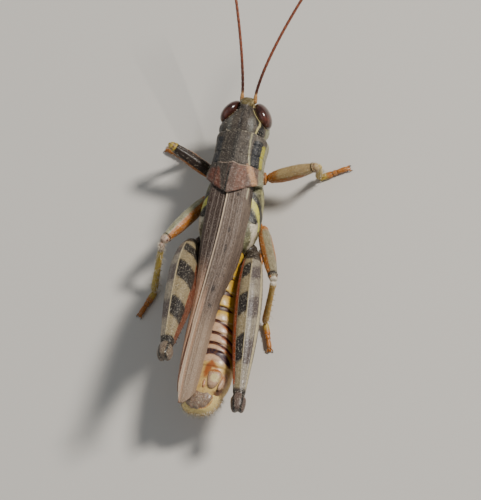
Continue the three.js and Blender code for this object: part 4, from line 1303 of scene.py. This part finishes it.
def make_foot(name, finish):
    """Three joints with pads, a pair of claws and the soft pad between them, flat on the floor."""
    *_, ankle, toe = LEGS[name]
    start, end = (*ankle, 0.24), (*toe, 0.22)
    place, length = limb(start, end), (Vector(end) - Vector(start)).length
    joints = []
    for begin, finish_at, half, pads in ((-0.04, 0.44, 0.19, 3), (0.4, 0.58, 0.16, 1), (0.55, 0.9, 0.15, 0)):
        rows = [(begin * length, 0, 0.02, half, 0.2, 0.2), (finish_at * length, 0, 0.0, half + 0.03, 0.18, 0.2)]

        def pad_shape(co, share, across, lift):
            if lift < 0:
                co.z = max(co.z - 0.06 * abs(math.sin(math.pi * max(pads, 1) * share)) * (pads > 0), -0.225)

        joints.append(form(rows, 20, 26, blunt=4, square=2, shape=pad_shape))
    for across in (-1, 1):
        claw = form(
            [
                (0.88 * length, across * 0.07, 0.03, 0.05, 0.06, 0.06),
                (length - 0.03, across * 0.17, -0.08, 0.035, 0.045, 0.05),
                (length + 0.1, across * 0.16, -0.19, 0.015, 0.02, 0.02),
            ],
            10, 14, blunt=5,
        )
        joints.append(claw)
    between = [(0.88 * length, 0, -0.02, 0.08, 0.05, 0.08), (length + 0.02, 0, -0.12, 0.11, 0.05, 0.08)]
    joints.append(form(between, 14, 12, blunt=3))
    foot = join(*joints)
    colour = {
        "orange": lambda p: 0.55 + 0.4 * smooth(p.y / length, 0.1, 0.3),
        "yellow": lambda p: 0.7 * (1 - smooth(p.y / length, 0.15, 0.4)),
        "ring": lambda p: (
            smooth(p.y, length - 0.02, length + 0.04) + 0.6 * bell(p.y / length - 0.43, 0.015)
            + 0.6 * bell(p.y / length - 0.575, 0.015)
        ),
    }
    mark_all(foot, colour)
    plant_hairs(foot, place, (0, length), "legs", 60, 0.18, 7)
    finish_piece(f"{name}_tarsus", foot, finish, [f"{name}_foot"], place)


def make_walking_leg(name):
    root, knee, ankle, _ = LEGS[name]
    ankle, side = (*ankle, ANKLE_HEIGHT), math.copysign(1, root[0])
    finish, shadowed, mid = leg_finish[name], name == "fore_leg_L", name.startswith("mid")
    inner = (root[0] - side * 0.55, root[1] + 0.1, root[2] - 0.05)
    outer = (root[0] + side * 0.3, root[1] - 0.02, root[2] - 0.12)
    hip, place, length = segment(
        [(0, 0.47, 0.47, 0.47), (0.55, 0.48, 0.5, 0.5), (0.8, 0.36, 0.38, 0.4), (1, 0.3, 0.32, 0.36)],
        inner, outer, 40, 32, blunt=3,
    )
    emboss(hip, lambda p: -0.07 * bell(p.y / length - 0.78, 0.05) + 0.02 * noise.noise(p * 5))
    mark_all(hip, {"orange": lambda p: 0.7, "ring": lambda p: 0.8 * bell(p.y / length - 0.78, 0.05)})
    finish_piece(f"{name}_hip", hip, finish, [f"{name}_coxa"], place)

    rows = [
        (0, 0.32, 0.36, 0.36), (0.25, 0.43, 0.47, 0.47), (0.6, 0.43, 0.47, 0.47),
        (0.88, 0.32, 0.34, 0.35), (0.96, 0.33, 0.34, 0.37), (1, 0.3, 0.32, 0.35),
    ]
    thigh, place, length = segment(rows, outer, knee, 48, 110, blunt=5)

    def thigh_relief(p):
        t, turned = p.y / length, math.atan2(p.z, p.x)
        body = 1 - smooth(t, 0.85, 0.9)
        height = body * 0.03 * sum(bell(turned - keel, 0.16) for keel in (1.9, 1.1, -2.0, -1.1))
        height -= 0.035 * bell(t - 0.9, 0.015) + 0.03 * bell(t - 0.06, 0.015)
        return height + 0.012 * noise.noise(p * 6)

    emboss(thigh, thigh_relief)
    colour = {
        "orange": lambda p: (
            0.9 * (1 - smooth(p.y / length, 0.04, 0.2 + 0.25 * (name == "fore_leg_R"))) * (not shadowed)
            + 0.9 * mid * (smooth(-side * p.x, 0.0, 0.12) + smooth(side * p.x, 0.38, 0.42))
            + (0.7 + 0.2 * shadowed) * smooth(abs(p.x), 0.33, 0.4) * (not mid)
            + 0.85 * (1 - smooth(p.z, -0.35, -0.15))
        ),
        "yellow": lambda p: shadowed * smooth(p.y / length, 0.86, 0.92),
        "pale": lambda p: 0.9 * (name == "mid_leg_L") * smooth(p.y / length, 0.9, 0.94),
        "dark": lambda p: 0.8 * (name == "mid_leg_R") * bell(p.y / length - 0.9, 0.05),
        "white": lambda p: 0.7 * (name == "mid_leg_R") * smooth(p.y / length, 0.95, 0.975),
        "ring": lambda p: 0.8 * bell(p.y / length - 0.9, 0.015) * (not shadowed),
        "maroon": lambda p: (
            0.8 * mid * bell(Vector((abs(p.x) - 0.22, p.y - 0.955 * length, p.z - 0.12)).length, 0.11)
            + 0.6 * (not mid) * bell(p.y / length - 0.94, 0.03)
        ),
    }
    mark_all(thigh, colour)
    plant_hairs(thigh, place, (0, length), "legs", 320, 0.22, 3)
    finish_piece(f"{name}_thigh", thigh, finish, [f"{name}_femur"], place)

    top = tuple(Vector(knee).lerp(Vector(ankle), 0.02))
    shin, place, length = segment(
        [
            (0, 0.21, 0.24, 0.22), (0.08, 0.23, 0.24, 0.23), (0.16, 0.19, 0.2, 0.2),
            (0.6, 0.2, 0.2, 0.2), (0.93, 0.23, 0.23, 0.23), (1, 0.2, 0.2, 0.2),
        ],
        top, ankle, 32, 70, blunt=6,
    )
    spines = [shin]
    for row in (-1, 1):
        for i in range(6):
            spines.append(
                spine_at(0.3, 0.04, (row * 0.1, length * (0.3 + 0.13 * i), -0.1), (row * 0.5, 0.75, -0.75))
            )
    shin = join(*spines)
    colour = {
        "orange": lambda p: 0.9 * (not shadowed) * (name != "mid_leg_L"),
        "yellow": lambda p: (
            (0.55 if name == "mid_leg_R" else 0.75) * (name != "mid_leg_L")
            + (name == "mid_leg_L") * span(p.y / length, 0.16, 1.1, 0.06)
        ),
        "dark": lambda p: 0.5 * (name == "mid_leg_L") * smooth(p.y / length, 0.3, 0.5),
        "pale": lambda p: 0.9 * (name == "mid_leg_L") * (1 - smooth(p.y / length, 0.1, 0.2)),
        "white": lambda p: 0.9 * (name == "mid_leg_R") * (1 - smooth(p.y / length, 0.03, 0.07)),
        "ring": lambda p: smooth(Vector((p.x, p.z)).length, 0.26, 0.33),
    }
    mark_all(shin, colour)
    plant_hairs(shin, place, (0, length), "legs", 280, 0.26, 5)
    finish_piece(f"{name}_shin", shin, finish, [f"{name}_tibia"], place)
    make_foot(name, finish)


def spine_at(size, radius, root, way):
    """A hard thorn standing at a root and pointing a given way."""
    cone = bmesh.new()
    bmesh.ops.create_cone(cone, cap_ends=True, segments=8, radius1=radius, radius2=0.004, depth=size)
    bmesh.ops.translate(cone, verts=cone.verts, vec=(0, 0, size / 2))
    cone.transform(Vector((0, 0, 1)).rotation_difference(Vector(way)).to_matrix().to_4x4())
    cone.transform(Matrix.Translation(root))
    return cone


for leg in leg_finish:
    make_walking_leg(leg)

# ---- Hind legs
# The jumping legs: a thigh swollen with muscle, keeled above and below and cut with a herringbone
# on its outer face, a two-lobed knee, and a long thin shin armed with two rows of black thorns.

HIND_MARKS = {
    "upper": (0x8A7A5A, 0.8, 0.45), "bands": (0x4C403D, 0.9, 0.4), "inner": (0x93431A, 0.4, 0.25),
    "keels": (0xC6B78E, 0.5, 0.25), "bars": (0x1B1411, 1.0, 0.35), "knee": (0x5C4A42, 0.8, 0.4),
    "crescent_and_shade": (0x17110F, 0.4, 0.3), "root": (0x261B15, 0.5, 0.35),
}
hind_finish = cuticle(
    "hind_thigh_cuticle", 0x7A6F60, 0x988D78, 0x352D27, [(key, *values) for key, values in HIND_MARKS.items()],
    rough=0.4, fineness=7.0, pits=0.7, relief=0.014, fleck=0xCCC3AE,
)
shin_finish = cuticle(
    "hind_shin_cuticle", 0x9A3A1C, 0xAE5226, 0x4A1C12,
    [("thorn", 0x120C0B, 0.2), ("pale_ring", 0xC8A070, 0.3), ("dark_knee", 0x3A1E16, 0.3)],
    rough=0.34, fineness=8.0, pits=0.3, relief=0.01,
)
THIGH_ROWS = [
    (0, 0.42, 0.62, 0.6), (0.1, 0.67, 1.02, 0.98), (0.25, 0.83, 1.3, 1.22),
    (0.42, 0.84, 1.22, 1.12), (0.62, 0.71, 0.92, 0.84), (0.8, 0.5, 0.56, 0.52),
    (0.89, 0.41, 0.44, 0.42), (0.95, 0.46, 0.54, 0.55), (1, 0.4, 0.52, 0.55),
]


def make_hind_leg(name, lean):
    root, knee, ankle, _ = LEGS[name]
    ankle, side = (*ankle, ANKLE_HEIGHT), math.copysign(1, root[0])
    hip_start = (root[0] - side * 0.75, root[1] - 0.35, root[2] - 0.75)
    hip_end = (root[0] - side * 0.05, root[1] - 0.05, root[2] - 0.25)
    hip, place, length = segment(
        [(0, 0.52, 0.57, 0.57), (0.5, 0.53, 0.6, 0.58), (1, 0.4, 0.48, 0.48)], hip_start, hip_end, 40, 32, blunt=3
    )
    emboss(hip, lambda p: -0.06 * bell(p.y / length - 0.75, 0.06) + 0.02 * noise.noise(p * 5))
    mark_all(hip, {"dark": lambda p: 0.9, "ring": lambda p: 0.8 * bell(p.y / length - 0.75, 0.06)})
    finish_piece(f"{name}_hip", hip, leg_finish["mid_leg_R"], [f"{name}_coxa"], place)

    thigh, place, length = segment(THIGH_ROWS, root, knee, 120, 230, lean, blunt=9, square=2.5)
    widths = reading(THIGH_ROWS)

    def face(p):
        """How far along, how far out (from -1 inside to 1 outside) and how high a point lies."""
        t = p.y / length
        half, rise, drop = widths(round(t, 4))
        return t, side * p.x / half, p.z / (rise if p.z > 0 else drop)

    def thigh_relief(p):
        t, out, lift = face(p)
        body = smooth(t, 0.04, 0.1) * (1 - smooth(t, 0.84, 0.89))
        height = (
            0.06 * body * bell(out - 0.12, 0.1) + 0.05 * body * (bell(lift - 0.72, 0.05) + bell(lift + 0.72, 0.05))
        )
        if out > 0 and abs(lift) < 0.68:
            ridges = (p.y + 0.75 * abs(lift)) / 0.34
            height += (
                body * (0.035 * abs(math.sin(math.pi * ridges)) ** 0.6 - 0.045) + 0.02 * body * bell(lift, 0.05)
            )
        height -= 0.05 * bell(t - 0.9, 0.012)
        if t > 0.92:
            height += (
                0.06 * bell(abs(out) - 0.8, 0.3) * (1 - smooth(lift, 0.2, 0.6))
                - 0.1 * bell(out, 0.3) * (1 - smooth(lift, -0.4, 0.0))
            )
        return height + 0.008 * noise.noise(p * 6)

    emboss(thigh, thigh_relief)
    left = side == LEFT  # its upper colours reach the inner edge
    bars = ((0.165, 0.045), (0.383, 0.065), (0.65, 0.08))  # how far along, and half how long
    if left:
        bars = ((0.165, 0.04), (0.368, 0.072), (0.648, 0.072))
    line = 0.12  # the keel along the top stands a little outside the middle
    colour = {
        "upper": lambda t, out, lift: 0.9 * span(out, -1.2 if left else -0.62, line, 0.04) * smooth(lift, 0.1, 0.3),
        "bars": lambda t, out, lift: (
            span(out, -1.2 if left else -0.6, line - 0.06, 0.04) * smooth(lift, 0.1, 0.35)
            * max(span(t + 0.05 * out + 0.025, a - w, a + w, 0.025) for a, w in bars)
        ),
        "bands": lambda t, out, lift: (
            0.95 * smooth(out, line, line + 0.1) * smooth(lift, -0.9, -0.5)
            * max(span(t + 0.05 - 0.06 * lift, a - w, a + w, 0.03) for a, w in bars)
        ),
        "inner": lambda t, out, lift: (
            (1 - smooth(out, -0.7, -0.58)) * (1 - smooth(t, 0.82, 0.88)) * (1 - left * smooth(lift, 0.28, 0.42))
        ),
        "keels": lambda t, out, lift: (1 - smooth(t, 0.84, 0.9)) * max(
            0.7 * bell(out - line, 0.05) * (lift > 0), 0.8 * bell(out - 0.92, 0.07) * (lift > 0),
            0.6 * bell(lift + 0.72, 0.05) * (out > 0)
        ),
        "knee": lambda t, out, lift: (0.6 if left else 1) * smooth(t, 0.85, 0.9),
        # The black crescent at the knee; on the left thigh this marking also paints shade over the inner face below
        # the top, and a dark band just before the knee.
        "crescent_and_shade": lambda t, out, lift: (
            smooth(t, 0.87, 0.9) * bell(abs(out) - 0.62 + 2 * (t - 0.94), 0.16) * smooth(lift, -0.4, 0.0)
            + 0.6 * bell(t - 0.885, 0.02) + 0.7 * left * bell(t - 0.865, 0.025)
            + 0.5 * left * (1 - smooth(out, -0.7, -0.58)) * (1 - smooth(lift, 0.28, 0.42)) * (t < 0.84)
        ),
        "root": lambda t, out, lift: 1 - smooth(t, 0.055, 0.095),
    }
    for key, amount in colour.items():
        mark(thigh, key, lambda p: amount(*face(p)))
    finish_piece(f"{name}_thigh", thigh, hind_finish, [f"{name}_femur"], place)

    bend = Vector(knee).lerp(Vector(root), 0.03)
    top = (bend.x, bend.y, bend.z - 0.12)
    shin, place, length = segment(
        [
            (0, 0.22, 0.26, 0.24), (0.04, 0.25, 0.28, 0.26), (0.09, 0.19, 0.22, 0.2),
            (0.5, 0.21, 0.21, 0.21), (0.92, 0.25, 0.24, 0.24), (1, 0.3, 0.27, 0.28),
        ],
        top, ankle, 32, 150, (0, 1, -0.35), blunt=8,
    )
    thorns = [shin]
    for row in (-1, 1):
        way = (math.sin(0.95) * math.sin(row * 0.75), math.cos(0.95), math.sin(0.95) * math.cos(0.75))
        for i in range(7):
            thorns.append(spine_at(0.52, 0.07, (row * 0.12, length * (0.3 + 0.1 * i), 0.08), way))
        thorns.append(spine_at(0.4, 0.05, (row * 0.16, length - 0.05, 0.05), (row * 0.5, 0.9, 0.3)))
        thorns.append(spine_at(0.34, 0.05, (row * 0.12, length - 0.05, -0.12), (row * 0.4, 0.9, -0.4)))
    shin = join(*thorns)
    mark(shin, "thorn", lambda p: smooth(Vector((p.x, p.z)).length, 0.3, 0.42) * (p.y / length > 0.2))
    mark(shin, "pale_ring", lambda p: 0.8 * bell(p.y / length - 0.12, 0.03))
    mark(shin, "dark_knee", lambda p: 0.8 * (1 - smooth(p.y / length, 0.05, 0.09)))
    plant_hairs(shin, place, (0, length), "legs", 260, 0.24, 9)
    finish_piece(f"{name}_shin", shin, shin_finish, [f"{name}_tibia"], place)
    make_foot(name, leg_finish["fore_leg_R"])


make_hind_leg("hind_leg_R", (-0.1, 0, 1))
make_hind_leg("hind_leg_L", (0.1, 0, 1))

# ---- Fine hairs
# Short pale bristles over the head, the shield's sides, the legs and the tail cup. Each is a thin
# solid spike; those of a coat are one mesh, unwrapped by where each root stands on its joint.

hair_finish = bpy.data.materials.new("pale_bristle")
hair_finish.use_nodes = True
hair_shader = hair_finish.node_tree.nodes["Principled BSDF"]
hair_shader.inputs["Base Color"].default_value = shade(0xE2D8C2)
hair_shader.inputs["Roughness"].default_value = 0.4
BRISTLE = {"half": 0.014, "sunk": 0.02, "lowest_tip": 0.03}


def make_hairs(coat_name, piece_name, across=6):
    coats = bmesh.new()
    unwrap = coats.loops.layers.uv.new("OFBake")
    for tile, roots in hair_roots[coat_name]:
        corner = Vector((tile % across, tile // across)) / across
        for root, way, size, turn_share, length_share in roots:
            tip, foot = root + way * size, way * BRISTLE["sunk"]
            if tip.z < BRISTLE["lowest_tip"]:
                continue
            sideways = way.orthogonal().normalized() * BRISTLE["half"]
            ring = [root + Matrix.Rotation(k * 2 * math.pi / 3, 3, way) @ sideways - foot for k in range(3)]
            verts = [coats.verts.new(point) for point in (*ring, tip)]
            here = corner + Vector((0.05 + 0.9 * turn_share, 0.05 + 0.9 * min(max(length_share, 0), 1))) / across
            spots = [here + Vector((math.cos(k * 2.1), math.sin(k * 2.1))) * 0.0015 for k in range(3)] + [here]
            for corners in ((0, 1, 3), (1, 2, 3), (2, 0, 3), (2, 1, 0)):
                face = coats.faces.new([verts[k] for k in corners])
                for loop, k in zip(face.loops, corners):
                    loop[unwrap].uv = spots[k]
    return finish_piece(piece_name, coats, hair_finish)


make_hairs("body", "body_bristles")
make_hairs("legs", "leg_bristles")
make_hairs("tail", "tail_bristles")
